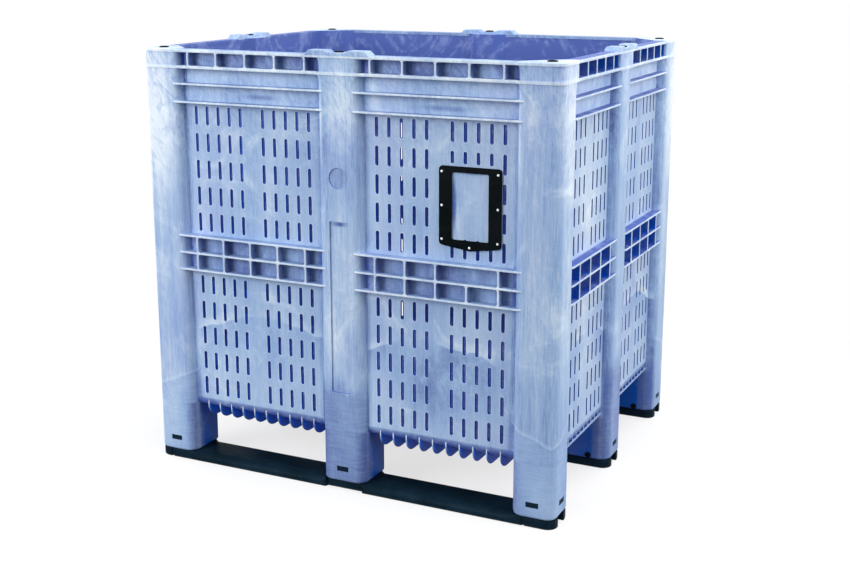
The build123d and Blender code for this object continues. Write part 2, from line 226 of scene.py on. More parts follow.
class BoxColours(bpy.types.PropertyGroup):
    """Colours of the box."""

    # painted shade: deep saturated blue where the box lies in shade, partly plastic that nothing rubs or
    # bleaches
    sheltered_in_shade: tint("Sheltered", "Plastic that nothing rubs or bleaches", (0.0015, 0.090, 0.480))
    # painted glow on the flat sides of the ribs under the deck, brighter than the lamps light them
    thin: tint("Thin", "Thin ribs under the deck, which let light through", (0.010, 0.170, 0.800))
    shaded: tint("Shaded", "Plastic of the box inside its cells", (0.105, 0.154, 0.370))
    # painted shade: the inside of the box darker than its outside, with pale swirled strokes
    inside_shade: tint("Lining", "Inside of the box", (0.058, 0.104, 0.375))
    inside_shade_strokes: tint("Light lining", "Pale strokes inside the box", (0.190, 0.255, 0.540))
    body: tint("Body", "Plastic of the box on its plain faces", (0.265, 0.395, 0.630))
    light: tint("Light", "Pale streaks in the plastic", (0.440, 0.560, 0.735))
    # pale also carries the painted highlights on rib fronts, the rim's lines and post edges
    pale: tint("Pale", "Rubbed edges of the box", (0.720, 0.805, 0.880))
    violet: tint("Violet", "Faint violet cast in the plastic", (0.270, 0.280, 0.620))
    runner: tint("Runner", "Runners under the feet", (0.004, 0.012, 0.020))
    runner_scuff: tint("Runner scuffs", "Scuffs on the runners", (0.009, 0.024, 0.042))
    fitting: tint("Fitting", "Plugs, pins and label frame", (0.002, 0.004, 0.005))
    fitting_scuff: tint("Fitting scuffs", "Scuffs on the fittings", (0.006, 0.008, 0.010))
    rivet: tint("Rivet", "Rivets of the label frame", (0.70, 0.72, 0.75))
    rivet_dull: tint("Dull rivet", "Dull places on the rivets", (0.45, 0.46, 0.48))
    floor: tint("Floor", "Floor under the box", (0.93, 0.93, 0.94))
    floor_light: tint("Floor light", "Floor as it lights the box from below", (0.72, 0.72, 0.73))


class StageSettings(bpy.types.PropertyGroup):
    """Camera, as it stands in the photograph, and the lamps."""

    camera_place: FloatVectorProperty(
        name="Camera place",
        description="Where the camera stands",
        default=(1.5943, -3.3006, 1.4041),
        subtype="XYZ",
    )
    turn: FloatProperty(
        name="Turn",
        description="Camera's turn about the upright",
        default=math.radians(25.53),
        subtype="ANGLE",
    )
    tilt: FloatProperty(
        name="Tilt",
        description="Camera's tilt down from level",
        default=math.radians(12.59),
        subtype="ANGLE",
    )
    lens: FloatProperty(
        name="Lens", description="Focal length on the sensor", default=54.36, unit="CAMERA"
    )
    shift_x: FloatProperty(name="Shift across", description="Sideways shift of the lens", default=-0.0046)
    shift_y: FloatProperty(name="Shift up", description="Upward shift of the lens", default=-0.05)
    lamp_size: size("Lamp size", "Width of a lamp", 3.0)


# Small lengths, steps of rounded shapes, shares, and the rows of slots at the label

WELD = 1e-5  # points closer than this are one
HAIR = 0.0003  # keeps two faces out of one plane
STEP_BACK = 0.0005  # upright ribs behind the ribs along a panel
CLEAR = 0.004  # how far a cutter stands out of what it cuts
SHARP_ANGLE = math.radians(32)
SLOT_STEPS = 3
ARC_STEPS = 6
CORNER_STEPS = 10
FILLET_STEPS = 4
ROUND_STEPS = 20
DISC_STEPS = 32
EDGE_BEVEL = 0.3  # bevel of a rib's front edge, of the edge's rounding
RUN_OUT_TAPER = 0.9  # thickness of a rib where it runs out over a post
SHORT_SLOT = 0.62  # length of the slots above the label frame, of a full slot
NOSE_SEAT = 0.8  # how deep a deck rib's end sits in the wall's skin
SLOPE = 1.8  # width of a runner's bevel between the feet, of its height
CROWN_LIP = 1.5  # how far a crown stands in from the inside of the skin, of the rim's lip
HEAD_EDGE = 0.6  # height of a round head's rounded edge, of its dome
HEAD_TURNS = (0.5, 0.9)  # angles at which that edge has points
HEAD_TOP = (0.35, 0.1)  # flat top of a round head, of its radius, and its drop, of the rounded edge
SHARPEST = 0.3  # keeps the corners of an outline that is drawn in from running away
LABEL_ROWS = {2: 1, 3: 2, 4: 2}  # rows of slots down from the rim at the label: 1 short slots, 2 none
QUADRANTS = ((1, 1), (-1, 1), (-1, -1), (1, -1))

# Wear of the plastic and painted light: below 0 it is sheltered and deep, painted shade where flanks, slots,
# cells, the inside and the underside of the box lie in shade; above 0 bleached and rubbed pale, with painted
# highlights on rib fronts and the rim's lines

# painted glow: the flat sides of the ribs under the deck get a bright blue that stands in for light through
# the thin plastic
PAINTED_FIN_GLOW = -2.5
# painted shade: deep saturated blue on foot bottoms, slot walls, the panels' undersides and the sides of the
# deck's rib ends
SHELTERED_IN_SHADE = -1.5
# painted shade on foot flanks, the inside of the box, the skin beside the posts, the flanks of the short
# walls' posts and edges that turn away from the front; FLANK is a light painted shade on the long walls' post
# flanks
FOOT_FLANK = -1.15
INSIDE = -0.66
MARGIN = -0.35
SHORT_FLANK = -0.31
TURNED = -0.3
FLANK = -0.11
EDGE = 0.05
MIDDLE = 0.06
# painted light: the recessed skin is made paler to make up for the shade it lies in
SKIN = 0.12
SLOT_EDGE = 0.40
CELL_EDGE = 0.6
POST_END = 0.35
# the rim's lines on the posts, rubbed pale with a painted highlight
POST_LINE = 0.55
# painted shade as a panel's lower edge turns under the box; a deck rib's end has a painted highlight at its
# top and painted shade at its bottom
SILL_TONES = (-0.4, -1.0)
FIN_TONES = (0.6, -1.1)
TOOTH_TONE = 0.35
# painted shade on the walls of the hollow and of the round place, and a little on the round place's floor
HOLLOW_TONES = (-0.5, 0.0)
PLACE_TONES = (-0.9, -0.12)
# painted shade on the posts' flanks between the rim's flanges, and in CORNER_TONES inside and on a corner
# post's flanks and turned edges
CELL_FLANKS = {FLANK: -0.4, SHORT_FLANK: -1.3}
CORNER_TONES = (INSIDE, FLANK, (EDGE, 0.0), 0.0, -0.08, 0.0, (0.0, TURNED), SHORT_FLANK, INSIDE)
# rim: painted shade in the rim's cells; belt: in the belt's cells; rubbed: rib fronts rubbed pale with a
# painted highlight; rib: painted shade on the ribs' sides; ledge: on their tops and undersides; slot: on the
# slot walls; all darker on the short walls
LONG_WALL = {"rim": -0.40, "belt": -0.30, "rubbed": 0.65, "rib": -0.40, "ledge": -0.15, "slot": SHELTERED_IN_SHADE}
SHORT_WALL = {"rim": -0.8, "belt": -1.0, "rubbed": 0.5, "rib": -0.9, "ledge": -0.6, "slot": -0.85}


# Shapes


class Shape:
    """Points and faces of a piece, and at each corner of a face a value that is high where it is rubbed pale
    and low where shade is painted.
    """

    def __init__(self, points=(), faces=(), wear_and_shade=0.0):
        self.points, self.faces, self.wear_and_shade = [], [], []
        self.add(points, faces, wear_and_shade)

    def add(self, points, faces, wear_and_shade=0.0):
        """Adds faces that share their points; wear_and_shade is one value, or one value or tuple for each
        face.
        """
        start = len(self.points)
        self.points += [tuple(point) for point in points]
        values = wear_and_shade if isinstance(wear_and_shade, list) else [wear_and_shade] * len(faces)
        for face, value in zip(faces, values):
            self.faces.append(tuple(start + i for i in face))
            self.wear_and_shade.append(value if isinstance(value, tuple) else (value,) * len(face))

    def moved(self, matrix):
        """A copy of the shape, moved; a mirrored copy has its faces turned round."""
        turn = -1 if matrix.determinant() < 0 else 1
        points = [matrix @ Vector(point) for point in self.points]
        return Shape(points, [face[::turn] for face in self.faces], [value[::turn] for value in self.wear_and_shade])

    def mesh(self, name, finish=None):
        """The shape as a mesh."""
        mesh = bpy.data.meshes.new(name)
        mesh.from_pydata(self.points, [], self.faces)
        worn_and_shaded = mesh.attributes.new("wear_and_shade", "FLOAT", "CORNER")
        worn_and_shaded.data.foreach_set("value", [value for face in self.wear_and_shade for value in face])
        mesh.shade_smooth()
        mesh.set_sharp_from_angle(angle=SHARP_ANGLE)
        if finish:
            mesh.materials.append(finish)
        return mesh

    def welded(self, closed=True):
        """The shape with its touching points joined; a closed one has its faces turned outwards."""
        mesh = self.mesh("welded")
        work = bmesh.new()
        work.from_mesh(mesh)
        bmesh.ops.remove_doubles(work, verts=work.verts, dist=WELD)
        if closed:
            bmesh.ops.recalc_face_normals(work, faces=work.faces)
        work.to_mesh(mesh)
        work.free()
        result = shape_of(mesh)
        bpy.data.meshes.remove(mesh)
        return result


def shape_of(mesh):
    """The shape of a finished mesh."""
    worn_and_shaded = mesh.attributes.get("wear_and_shade")
    wear_and_shade = 0.0
    if worn_and_shaded:
        wear_and_shade = [tuple(worn_and_shaded.data[i].value for i in polygon.loop_indices) for polygon in mesh.polygons]
    points = [vertex.co for vertex in mesh.vertices]
    return Shape(points, [tuple(polygon.vertices) for polygon in mesh.polygons], wear_and_shade)


def merged(*shapes):
    """Several shapes as one."""
    whole = Shape()
    for shape in shapes:
        whole.add(shape.points, shape.faces, list(shape.wear_and_shade))
    return whole


def lofted(rings, worn_and_shaded=0.0, tones=None, ends=0.0):
    """A closed skin over rings of equally many points, facing outwards.

    worn_and_shaded is the value of its sides, high where rubbed pale and low where shade is painted, or gives
    that of one side from its ring and its place in the ring.
    tones are added to it along a ring, and ends is the value of the two end faces.
    """
    count = len(rings[0])
    points = [Vector(point) for ring in rings for point in ring]
    tones = tones or [0.0] * count
    faces, wear_and_shade = [], []
    for r in range(len(rings) - 1):
        for i in range(count):
            j = (i + 1) % count
            faces.append((r * count + i, r * count + j, (r + 1) * count + j, (r + 1) * count + i))
            extra = worn_and_shaded(r, i) if callable(worn_and_shaded) else worn_and_shaded
            wear_and_shade.append(tuple(tones[k] + extra for k in (i, j, j, i)))
    last = (len(rings) - 1) * count
    faces += [tuple(reversed(range(count))), tuple(range(last, last + count))]
    wear_and_shade += [(ends,) * count] * 2
    middle = sum(points, Vector()) / len(points)
    volume = 0.0
    for face in faces:
        corners = [points[i] - middle for i in face]
        for a, b in zip(corners[1:], corners[2:]):
            volume += corners[0].dot(a.cross(b))
    turn = -1 if volume < 0 else 1
    return Shape(points, [face[::turn] for face in faces], [value[::turn] for value in wear_and_shade])


def linked(name, data):
    """A new object in the scene."""
    thing = bpy.data.objects.new(name, data)
    bpy.context.scene.collection.objects.link(thing)
    return thing


def finished(host):
    """The shape of an object after its modifiers; the object is taken away."""
    depsgraph = bpy.context.evaluated_depsgraph_get()
    mesh = bpy.data.meshes.new_from_object(host.evaluated_get(depsgraph), depsgraph=depsgraph)
    bpy.data.objects.remove(host)
    return shape_of(mesh)


def placed(name, shape, finish, nodes):
    """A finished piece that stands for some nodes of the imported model."""
    piece = linked(name, shape.mesh(name, finish))
    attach(piece, "root")
    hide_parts(*nodes)
    return piece


def carved(shape, cutter):
    """A shape with another shape cut out of it."""
    tool = linked("cutter", cutter.mesh("cutter"))
    host = linked("carved", shape.mesh("carved"))
    cut = host.modifiers.new("cut", "BOOLEAN")
    cut.object = tool
    cut.operation = "DIFFERENCE"
    cut.solver = "EXACT"
    result = finished(host)
    bpy.data.objects.remove(tool)
    return result


def fillet(steps):
    """Points of a quarter round of radius 1, from (0, 1) to (1, 0), hollow towards (1, 1)."""
    turns = [math.pi / 2 * step / steps for step in range(steps + 1)]
    return [(1 - math.cos(a), 1 - math.sin(a)) for a in turns]


def circle(radius, steps):
    """Points round a circle."""
    turns = [2 * math.pi * step / steps for step in range(steps)]
    return [Vector((radius * math.cos(a), radius * math.sin(a))) for a in turns]


def rounded(points, radii):
    """A closed outline with its corners rounded."""
    outline = []
    for i, (point, radius) in enumerate(zip(points, radii)):
        here = Vector(point)
        if radius <= 0:
            outline.append(here)
            continue
        back = (Vector(points[i - 1]) - here).normalized()
        ahead = (Vector(points[(i + 1) % len(points)]) - here).normalized()
        half_angle = back.angle(ahead) / 2
        middle = here + (back + ahead).normalized() * radius / math.sin(half_angle)
        reach = radius / math.tan(half_angle)
        first = here + back * reach - middle
        last = here + ahead * reach - middle
        turn = first.angle_signed(last)
        for step in range(ARC_STEPS + 1):
            outline.append(middle + Matrix.Rotation(-turn * step / ARC_STEPS, 2) @ first)
    return outline


def spread(values, radii):
    """One value for each point of a rounded outline; a pair runs from its first value to its second."""
    result = []
    for value, radius in zip(values, radii):
        first, last = value if isinstance(value, tuple) else (value, value)
        steps = ARC_STEPS if radius > 0 else 0
        result += [first + (last - first) * step / max(steps, 1) for step in range(steps + 1)]
    return result


def shrunk(outline, distance):
    """A closed outline drawn in by a distance, for outlines that run anticlockwise."""
    result = []
    for i, here in enumerate(outline):
        before = (here - outline[i - 1]).normalized()
        after = (outline[(i + 1) % len(outline)] - here).normalized()
        left = Vector((-before.y, before.x))
        bisector = (left + Vector((-after.y, after.x))).normalized()
        result.append(here + bisector * distance / max(bisector.dot(left), SHARPEST))
    return result


def anticlockwise(outline):
    """The outline, turned round if it runs clockwise."""
    area = sum(a.x * b.y - b.x * a.y for a, b in zip(outline, outline[1:] + outline[:1]))
    return outline if area > 0 else outline[::-1]


def corner_points(low, high):
    """The four corners of a rectangle, anticlockwise."""
    return [Vector((low[0], low[1])), Vector((high[0], low[1])), Vector(high[:2]), Vector((low[0], high[1]))]


def block(low, high):
    """A plain block between two corners."""
    ring = corner_points(low, high)
    return lofted([[(p.x, p.y, z) for p in ring] for z in (low[2], high[2])])


def slab(outline, levels, tones=None, ends=0.0):
    """A slab on an outline that runs anticlockwise; levels are (height, how far the outline is drawn in)."""
    return lofted([[(p.x, p.y, z) for p in shrunk(outline, inset)] for z, inset in levels], 0.0, tones, ends)


def round_head(radius, height, dome):
    """A round head that stands up from its seat, with a rounded edge and a low dome."""
    rounding = HEAD_EDGE * dome
    shoulder = height - rounding
    profile = [(radius, 0.0), (radius, shoulder)]
    profile += [(radius * math.cos(a), shoulder + rounding * math.sin(a)) for a in HEAD_TURNS]
    flat, drop = HEAD_TOP
    profile.append((flat * radius, height - drop * rounding))
    return lofted([[(p.x, p.y, z) for p in circle(r, ROUND_STEPS)] for r, z in profile])


# Repeats


def columns_and_rows():
    """Geometry node tree that repeats a piece in columns and rows across a wall."""
    tree = bpy.data.node_groups.new("Columns and rows", "GeometryNodeTree")
    for name, kind in (
        ("Piece", "NodeSocketObject"),
        ("Columns", "NodeSocketInt"),
        ("Rows", "NodeSocketInt"),
        ("Column Pitch", "NodeSocketFloat"),
        ("Row Pitch", "NodeSocketFloat"),
        ("Centre", "NodeSocketVector"),
        ("Finish", "NodeSocketMaterial"),
    ):
        tree.interface.new_socket(name, in_out="INPUT", socket_type=kind)
    tree.interface.new_socket("Geometry", in_out="OUTPUT", socket_type="NodeSocketGeometry")
    given = tree.nodes.new("NodeGroupInput").outputs
    grid = tree.nodes.new("GeometryNodeMeshGrid")
    for axis, count, pitch in (("X", "Columns", "Column Pitch"), ("Y", "Rows", "Row Pitch")):
        gaps = tree.nodes.new("ShaderNodeMath")
        gaps.operation = "SUBTRACT"
        gaps.inputs[1].default_value = 1
        reach = tree.nodes.new("ShaderNodeMath")
        reach.operation = "MULTIPLY"
        tree.links.new(given[count], gaps.inputs[0])
        tree.links.new(gaps.outputs[0], reach.inputs[0])
        tree.links.new(given[pitch], reach.inputs[1])
        tree.links.new(reach.outputs[0], grid.inputs[f"Size {axis}"])
        tree.links.new(given[count], grid.inputs[f"Vertices {axis}"])
    upright = tree.nodes.new("GeometryNodeTransform")
    upright.inputs["Rotation"].default_value = (math.pi / 2, 0, 0)
    source = tree.nodes.new("GeometryNodeObjectInfo")
    source.inputs["As Instance"].default_value = True
    copies = tree.nodes.new("GeometryNodeInstanceOnPoints")
    real = tree.nodes.new("GeometryNodeRealizeInstances")
    dressed = tree.nodes.new("GeometryNodeSetMaterial")
    result = tree.nodes.new("NodeGroupOutput")
    for start, end in (
        (grid.outputs["Mesh"], upright.inputs["Geometry"]),
        (given["Centre"], upright.inputs["Translation"]),
        (upright.outputs["Geometry"], copies.inputs["Points"]),
        (given["Piece"], source.inputs["Object"]),
        (source.outputs["Geometry"], copies.inputs["Instance"]),
        (copies.outputs["Instances"], real.inputs["Geometry"]),
        (real.outputs["Geometry"], dressed.inputs["Geometry"]),
        (given["Finish"], dressed.inputs["Material"]),
        (dressed.outputs["Geometry"], result.inputs["Geometry"]),
    ):
        tree.links.new(start, end)
    return tree


def repeated(shape, columns, rows, column_pitch, row_pitch, centre, finish):
    """A shape repeated in columns and rows round a centre, as one shape."""
    tree = bpy.data.node_groups.get("Columns and rows") or columns_and_rows()
    source = linked("repeat_source", shape.mesh("repeat_source"))
    host = linked("repeat_host", bpy.data.meshes.new("repeat_host"))
    modifier = host.modifiers.new("repeat", "NODES")
    modifier.node_group = tree
    values = {
        "Piece": source,
        "Columns": columns,
        "Rows": rows,
        "Column Pitch": column_pitch,
        "Row Pitch": row_pitch,
        "Centre": centre,
        "Finish": finish,
    }
    for socket in tree.interface.items_tree:
        if socket.in_out == "INPUT":
            modifier[socket.identifier] = values[socket.name]
    result = finished(host)
    bpy.data.objects.remove(source)
    return result


# Places

WALL_SIDES = {
    "front": ("left", "right"),
    "right": ("front", "rear"),
    "rear": ("right", "left"),
    "left": ("rear", "front"),
}
LONG_WALLS = ("front", "rear")
SHORT_WALLS = ("left", "right")
CORNERS = {"front_left": (-1, -1), "front_right": (1, -1), "rear_left": (-1, 1), "rear_right": (1, 1)}


def wall_matrix(name):
    """From a wall's own frame to the box: x to the right seen from outside, y inwards, z up."""
    turn = math.radians(90 * list(WALL_SIDES).index(name))
    reach = half_width if name in LONG_WALLS else half_length
    return Matrix.Rotation(turn, 4, "Z") @ Matrix.Translation((0, -reach, 0))


def corner_matrix(x_side, y_side):
    """From a corner's own frame, which runs from the outer corner along both walls, to the box."""
    flip = Matrix.Diagonal((-x_side, -y_side, 1, 1))
    return Matrix.Translation((x_side * half_length, y_side * half_width, 0)) @ flip


# Wall panels


def hole_outline(width, height, radius, shift):
    """Four arcs of points round a hole with rounded corners, from the upper right corner anticlockwise."""
    arcs = []
    for quarter, (x_sign, z_sign) in enumerate(QUADRANTS):
        middle = (x_sign * (width / 2 - radius), shift + z_sign * (height / 2 - radius))
        angles = [(quarter + step / SLOT_STEPS) * math.pi / 2 for step in range(SLOT_STEPS + 1)]
        arcs.append([(middle[0] + radius * math.cos(a), middle[1] + radius * math.sin(a)) for a in angles])
    return arcs


def slot_tile(width, height, slot_width, slot_length, rim, depth, deep, shift=0.0):
    """A piece of the wall skin with one slot through it, rubbed round the slot, with painted shade on the
    slot's walls and on its back.
    """
    tile = Shape()
    corners = [(x_sign * width / 2, z_sign * height / 2) for x_sign, z_sign in QUADRANTS]
    hole = hole_outline(slot_width, slot_length, slot_width / 2, shift)
    ring = hole_outline(slot_width + 2 * rim, slot_length + 2 * rim, slot_width / 2 + rim, shift)

    def surround(arcs, y, turn, wear_and_shade):
        points = [(x, y, z) for x, z in corners] + [(x, y, z) for arc in arcs for x, z in arc]
        count = len(arcs[0])
        faces = []
        for q in range(4):
            start = 4 + q * count
            nearest = 4 + ((q + 1) % 4) * count
            faces += [(q, start + i + 1, start + i) for i in range(count - 1)]
            faces.append((q, (q + 1) % 4, nearest, start + count - 1))
        tile.add(points, [face[::turn] for face in faces], wear_and_shade)

    def join(first, second, wear_and_shade):
        count = len(first)
        faces = [(i, (i + 1) % count, count + (i + 1) % count, count + i) for i in range(count)]
        tile.add(first + second, faces, wear_and_shade)

    surround(ring, 0.0, 1, SKIN)
    # painted shade on the back of the skin, inside the box, and through deep on the slot's walls
    surround(hole, depth, -1, INSIDE)
    front_ring = [(x, 0.0, z) for arc in ring for x, z in arc]
    front_hole = [(x, 0.0, z) for arc in hole for x, z in arc]
    back_hole = [(x, depth, z) for arc in hole for x, z in arc]
    join(front_ring, front_hole, SLOT_EDGE)
    join(front_hole, back_hole, deep)
    return tile.welded(closed=False)


class PanelPlan:
    """Levels and places of one kind of wall panel, in its own frame with x from the panel's middle."""

    def __init__(self, sizes, on_long_wall):
        self.s = sizes
        low, high = (panel_low, panel_high) if on_long_wall else (short_panel_low, short_panel_high)
        axis = 0 if on_long_wall else 1
        self.bay = high[axis] - low[axis] - 2 * sizes.lean
        self.offset = abs(low[axis] + high[axis]) / 2
        self.low = low.z
        self.high = high.z
        self.columns = sizes.long_columns if on_long_wall else sizes.short_columns
        self.pitch = sizes.long_pitch if on_long_wall else sizes.short_pitch
        self.ribs = sizes.long_ribs if on_long_wall else sizes.short_ribs
        self.rim_end = sizes.long_rim_end if on_long_wall else sizes.short_rim_end
        self.wear_and_shade = LONG_WALL if on_long_wall else SHORT_WALL
        self.rim_low = self.high - 2 * sizes.flange - sizes.cell_height
        self.band_low = self.high - sizes.band_drop - sizes.band_spacing
        self.belt_low = sizes.belt_level - sizes.belt_row
        self.belt_high = sizes.belt_level + sizes.belt_row
        self.field = sizes.slot_rows * sizes.row_pitch
        self.upper = (self.belt_high + self.band_low) / 2
        self.sill = self.low + sizes.sill

    def rib_pitch(self, end):
        """Distance between upright ribs whose row ends this far from the posts."""
        return (self.bay - 2 * end) / (self.ribs - 1)


def wall_skin(plan, finish, bare):
    """The slotted skin of a panel; bare(column, row) is 0 for a slot, 1 for a short one and 2 for none."""
    s = plan.s
    skin = Shape()
    half_bay = plan.bay / 2
    runs = [(k + 0.5) * plan.pitch for k in range(plan.columns + 1)]
    xs = [-half_bay] + [-x for x in reversed(runs)] + runs + [half_bay]
    lower = [plan.sill + row * s.row_pitch for row in range(s.slot_rows + 1)]
    upper = [plan.upper - plan.field / 2 + row * s.row_pitch for row in range(s.slot_rows + 1)]
    zs = lower + [plan.belt_low] + upper + [plan.rim_low, plan.high - s.flange / 2]
    belt = s.slot_rows + 1
    slotted_rows = [j for j in range(len(zs) - 3) if j not in (belt - 1, belt)]
    slotted_columns = [i for i in range(1, len(xs) - 2) if i != plan.columns + 1]
    shade = {belt: plan.wear_and_shade["belt"], len(zs) - 2: plan.wear_and_shade["rim"]}

    def tile_with(length):
        shift = (s.slot_length - length) / 2
        tile = (plan.pitch, s.row_pitch, s.slot_width, length, s.slot_rim, s.skin)
        return slot_tile(*tile, plan.wear_and_shade["slot"], shift)

    tile = tile_with(s.slot_length)
    short_tile = tile_with(s.slot_length * SHORT_SLOT)

    def lay(piece, x, z, columns=1, rows=1):
        part = repeated(piece, columns, rows, plan.pitch, s.row_pitch, (x, s.recess, z), finish)
        skin.add(part.points, part.faces, part.wear_and_shade)

    def has_slot(i, j):
        return i in slotted_columns and j in slotted_rows and bare(i, j) < 2

    if any(bare(i, j) for i in slotted_columns for j in slotted_rows):
        for i in slotted_columns:
            for j in slotted_rows:
                if has_slot(i, j):
                    piece = short_tile if bare(i, j) else tile
                    lay(piece, (xs[i] + xs[i + 1]) / 2, (zs[j] + zs[j + 1]) / 2)
    else:
        for z in (plan.sill + plan.field / 2, plan.upper):
            for side in (-1, 1):
                lay(tile, side * (plan.columns + 1) / 2 * plan.pitch, z, plan.columns, s.slot_rows)
    front = s.recess
    back = s.recess + s.skin
    for i, (x0, x1) in enumerate(zip(xs, xs[1:])):
        for j, (z0, z1) in enumerate(zip(zs, zs[1:])):
            if not has_slot(i, j):
                ring = [(x0, z0), (x1, z0), (x1, z1), (x0, z1)]
                # the rim's and the belt's cells get their painted shade; painted shade on the skin beside the
                # posts and on its back inside the box
                tone = shade.get(j, SKIN)
                left = tone + MARGIN if i == 0 else tone
                right = tone + MARGIN if i == len(xs) - 2 else tone
                skin.add([(x, front, z) for x, z in ring], [(0, 1, 2, 3)], [(left, right, right, left)])
                skin.add([(x, back, z) for x, z in ring], [(3, 2, 1, 0)], INSIDE)
    for x0, x1 in zip(xs, xs[1:]):
        for z in (zs[0], zs[-1]):
            skin.add([(x0, front, z), (x1, front, z), (x1, back, z), (x0, back, z)], [(0, 1, 2, 3)])
    for z0, z1 in zip(zs, zs[1:]):
        for x in (xs[0], xs[-1]):
            skin.add([(x, front, z0), (x, front, z1), (x, back, z1), (x, back, z0)], [(0, 1, 2, 3)])
    return skin.welded()


def panel_sill(plan):
    """The rounded lower edge of a panel, where the skin turns in under the box."""
    s = plan.s
    bottom = plan.low - s.sill_drop
    inner = s.recess + s.skin
    turn = fillet(ARC_STEPS)
    profile = [(s.recess, plan.sill)]
    profile += [(s.recess + s.sill_round * y, bottom + s.sill_round * z) for y, z in turn]
    profile += [(inner + s.sill_round, bottom), (inner + s.sill_round, bottom + s.skin)]
    profile += [(inner, bottom + s.skin), (inner, plan.sill)]
    # painted shade that deepens as the edge turns under the box, deep on its underside, and painted shade on
    # its inner face
    first, last = SILL_TONES
    tones = [SKIN] + [first + (last - first) * step / ARC_STEPS for step in range(len(turn))]
    tones += [SHELTERED_IN_SHADE] * 2 + [INSIDE] * 2
    return lofted([[(side * plan.bay / 2, y, z) for y, z in profile] for side in (-1, 1)], 0.0, tones)


def long_rib(plan, level, thickness, back, sink):
    """A rib along the panel with a rounded front edge; its ends run out and sink over the posts."""
    s = plan.s
    half = thickness / 2
    bevel = s.edge * EDGE_BEVEL
    lower = [(back, -half), (s.edge, -half), (bevel, bevel - half), (HAIR, s.edge - half)]
    profile = lower + [(y, -z) for y, z in reversed(lower)]
    reach = [plan.bay / 2 + s.lean * max(0.0, 1 - y / s.recess) for y, _ in profile]
    rings = []
    for side in (-1, 1):
        end, sunk = [], []
        for x, (y, z) in zip(reach, profile):
            end.append((side * x, y, level + z))
            sunk.append((side * (x + s.run_out), max(y, sink), level + RUN_OUT_TAPER * z))
        rings += [end, sunk][::side]
    # rib front rubbed pale with a painted highlight; painted shade on its top, underside and back
    return lofted(rings, lambda ring, i: plan.wear_and_shade["rubbed"] if 1 <= i <= 5 else plan.wear_and_shade["ledge"])


def upright_rib(plan, reach):
    """An upright rib with a rounded front edge, a hair behind the front of the ribs along the panel."""
    s = plan.s
    half = s.rib / 2
    left = [(-half, s.recess + s.skin / 2), (-half, STEP_BACK + s.edge), (s.edge - half, STEP_BACK)]
    profile = left + [(-x, y) for x, y in reversed(left)]
    rings = [[(x, y, z) for x, y in profile] for z in (-reach, reach)]
    # front rubbed pale with a painted highlight; painted shade on its sides
    return lofted(rings, lambda ring, i: plan.wear_and_shade["rubbed"] if 1 <= i <= 3 else plan.wear_and_shade["rib"])


def cell_corners(plan, width, height):
    """The four rounded corners of a cell, as fillets between its ribs."""
    s = plan.s
    sunk = 2 * HAIR
    x_edge = width / 2
    z_edge = height / 2
    outline = [(x_edge + sunk, z_edge + sunk), (x_edge - s.cell_radius, z_edge + sunk)]
    for x, z in reversed(fillet(FILLET_STEPS)):
        outline.append((x_edge - s.cell_radius * x, z_edge - s.cell_radius * z))
    outline.append((x_edge + sunk, z_edge - s.cell_radius))
    corners = []
    for x_sign, z_sign in QUADRANTS:
        ring = [(x_sign * x, z_sign * z) for x, z in outline]
        rings = [[(x, y, z) for x, z in ring] for y in (s.edge, s.recess + s.skin / 2)]
        # painted shade on the fillets, their ends rubbed pale with a painted highlight
        corners.append(lofted(rings, plan.wear_and_shade["rib"], None, CELL_EDGE))
    return merged(*corners)


def cell_row(plan, finish, level, end, reach, height, wide_cell=False):
    """A row of cells: upright ribs and the rounded corners between them.

    In a row with a wide cell the last but one upright is left out.
    """
    s = plan.s
    pitch = plan.rib_pitch(end)
    upright = upright_rib(plan, reach)
    corners = cell_corners(plan, pitch - s.rib, height)
    if wide_cell:
        first = -(plan.ribs - 1) / 2 * pitch
        kept = first + (plan.ribs - 3) / 2 * pitch
        wide = cell_corners(plan, 2 * pitch - s.rib, height)
        runs = [
            (upright, plan.ribs - 2, kept),
            (upright, 1, -first),
            (corners, plan.ribs - 3, kept),
            (wide, 1, first + (plan.ribs - 2) * pitch),
        ]
    else:
        runs = [(upright, plan.ribs, 0), (corners, plan.ribs - 1, 0)]
    return merged(*[repeated(part, count, 1, pitch, 0, (x, 0, level), finish) for part, count, x in runs])


def panel_shape(sizes, on_long_wall, finish, bare=None):
    """One wall panel in its own frame; the one with bare places for the label also has a wide cell."""
    plan = PanelPlan(sizes, on_long_wall)
    s = sizes
    behind = s.recess + s.skin / 2
    pieces = [
        wall_skin(plan, finish, bare or (lambda column, row: 0)),
        panel_sill(plan),
        long_rib(plan, plan.high - s.flange / 2 - HAIR, s.flange, s.recess + s.skin + s.lip, HAIR),
        long_rib(plan, plan.rim_low + s.flange / 2, s.flange, behind, HAIR),
    ]
    for level in (plan.band_low + s.band_spacing, plan.band_low, plan.belt_high, s.belt_level, plan.belt_low):
        pieces.append(long_rib(plan, level, s.rib, behind, s.run_out_sink))
    rim_middle = plan.high - s.flange - s.cell_height / 2
    rim_reach = (s.cell_height + s.flange) / 2
    pieces.append(cell_row(plan, finish, rim_middle, plan.rim_end, rim_reach, s.cell_height))
    half = s.belt_row / 2
    for level, wide_cell in ((s.belt_level - half, False), (s.belt_level + half, bool(bare))):
        pieces.append(cell_row(plan, finish, level, s.belt_end, half, s.belt_row - s.rib, wide_cell))
    return merged(*pieces), plan.offset


# Legs: each post with the foot under it


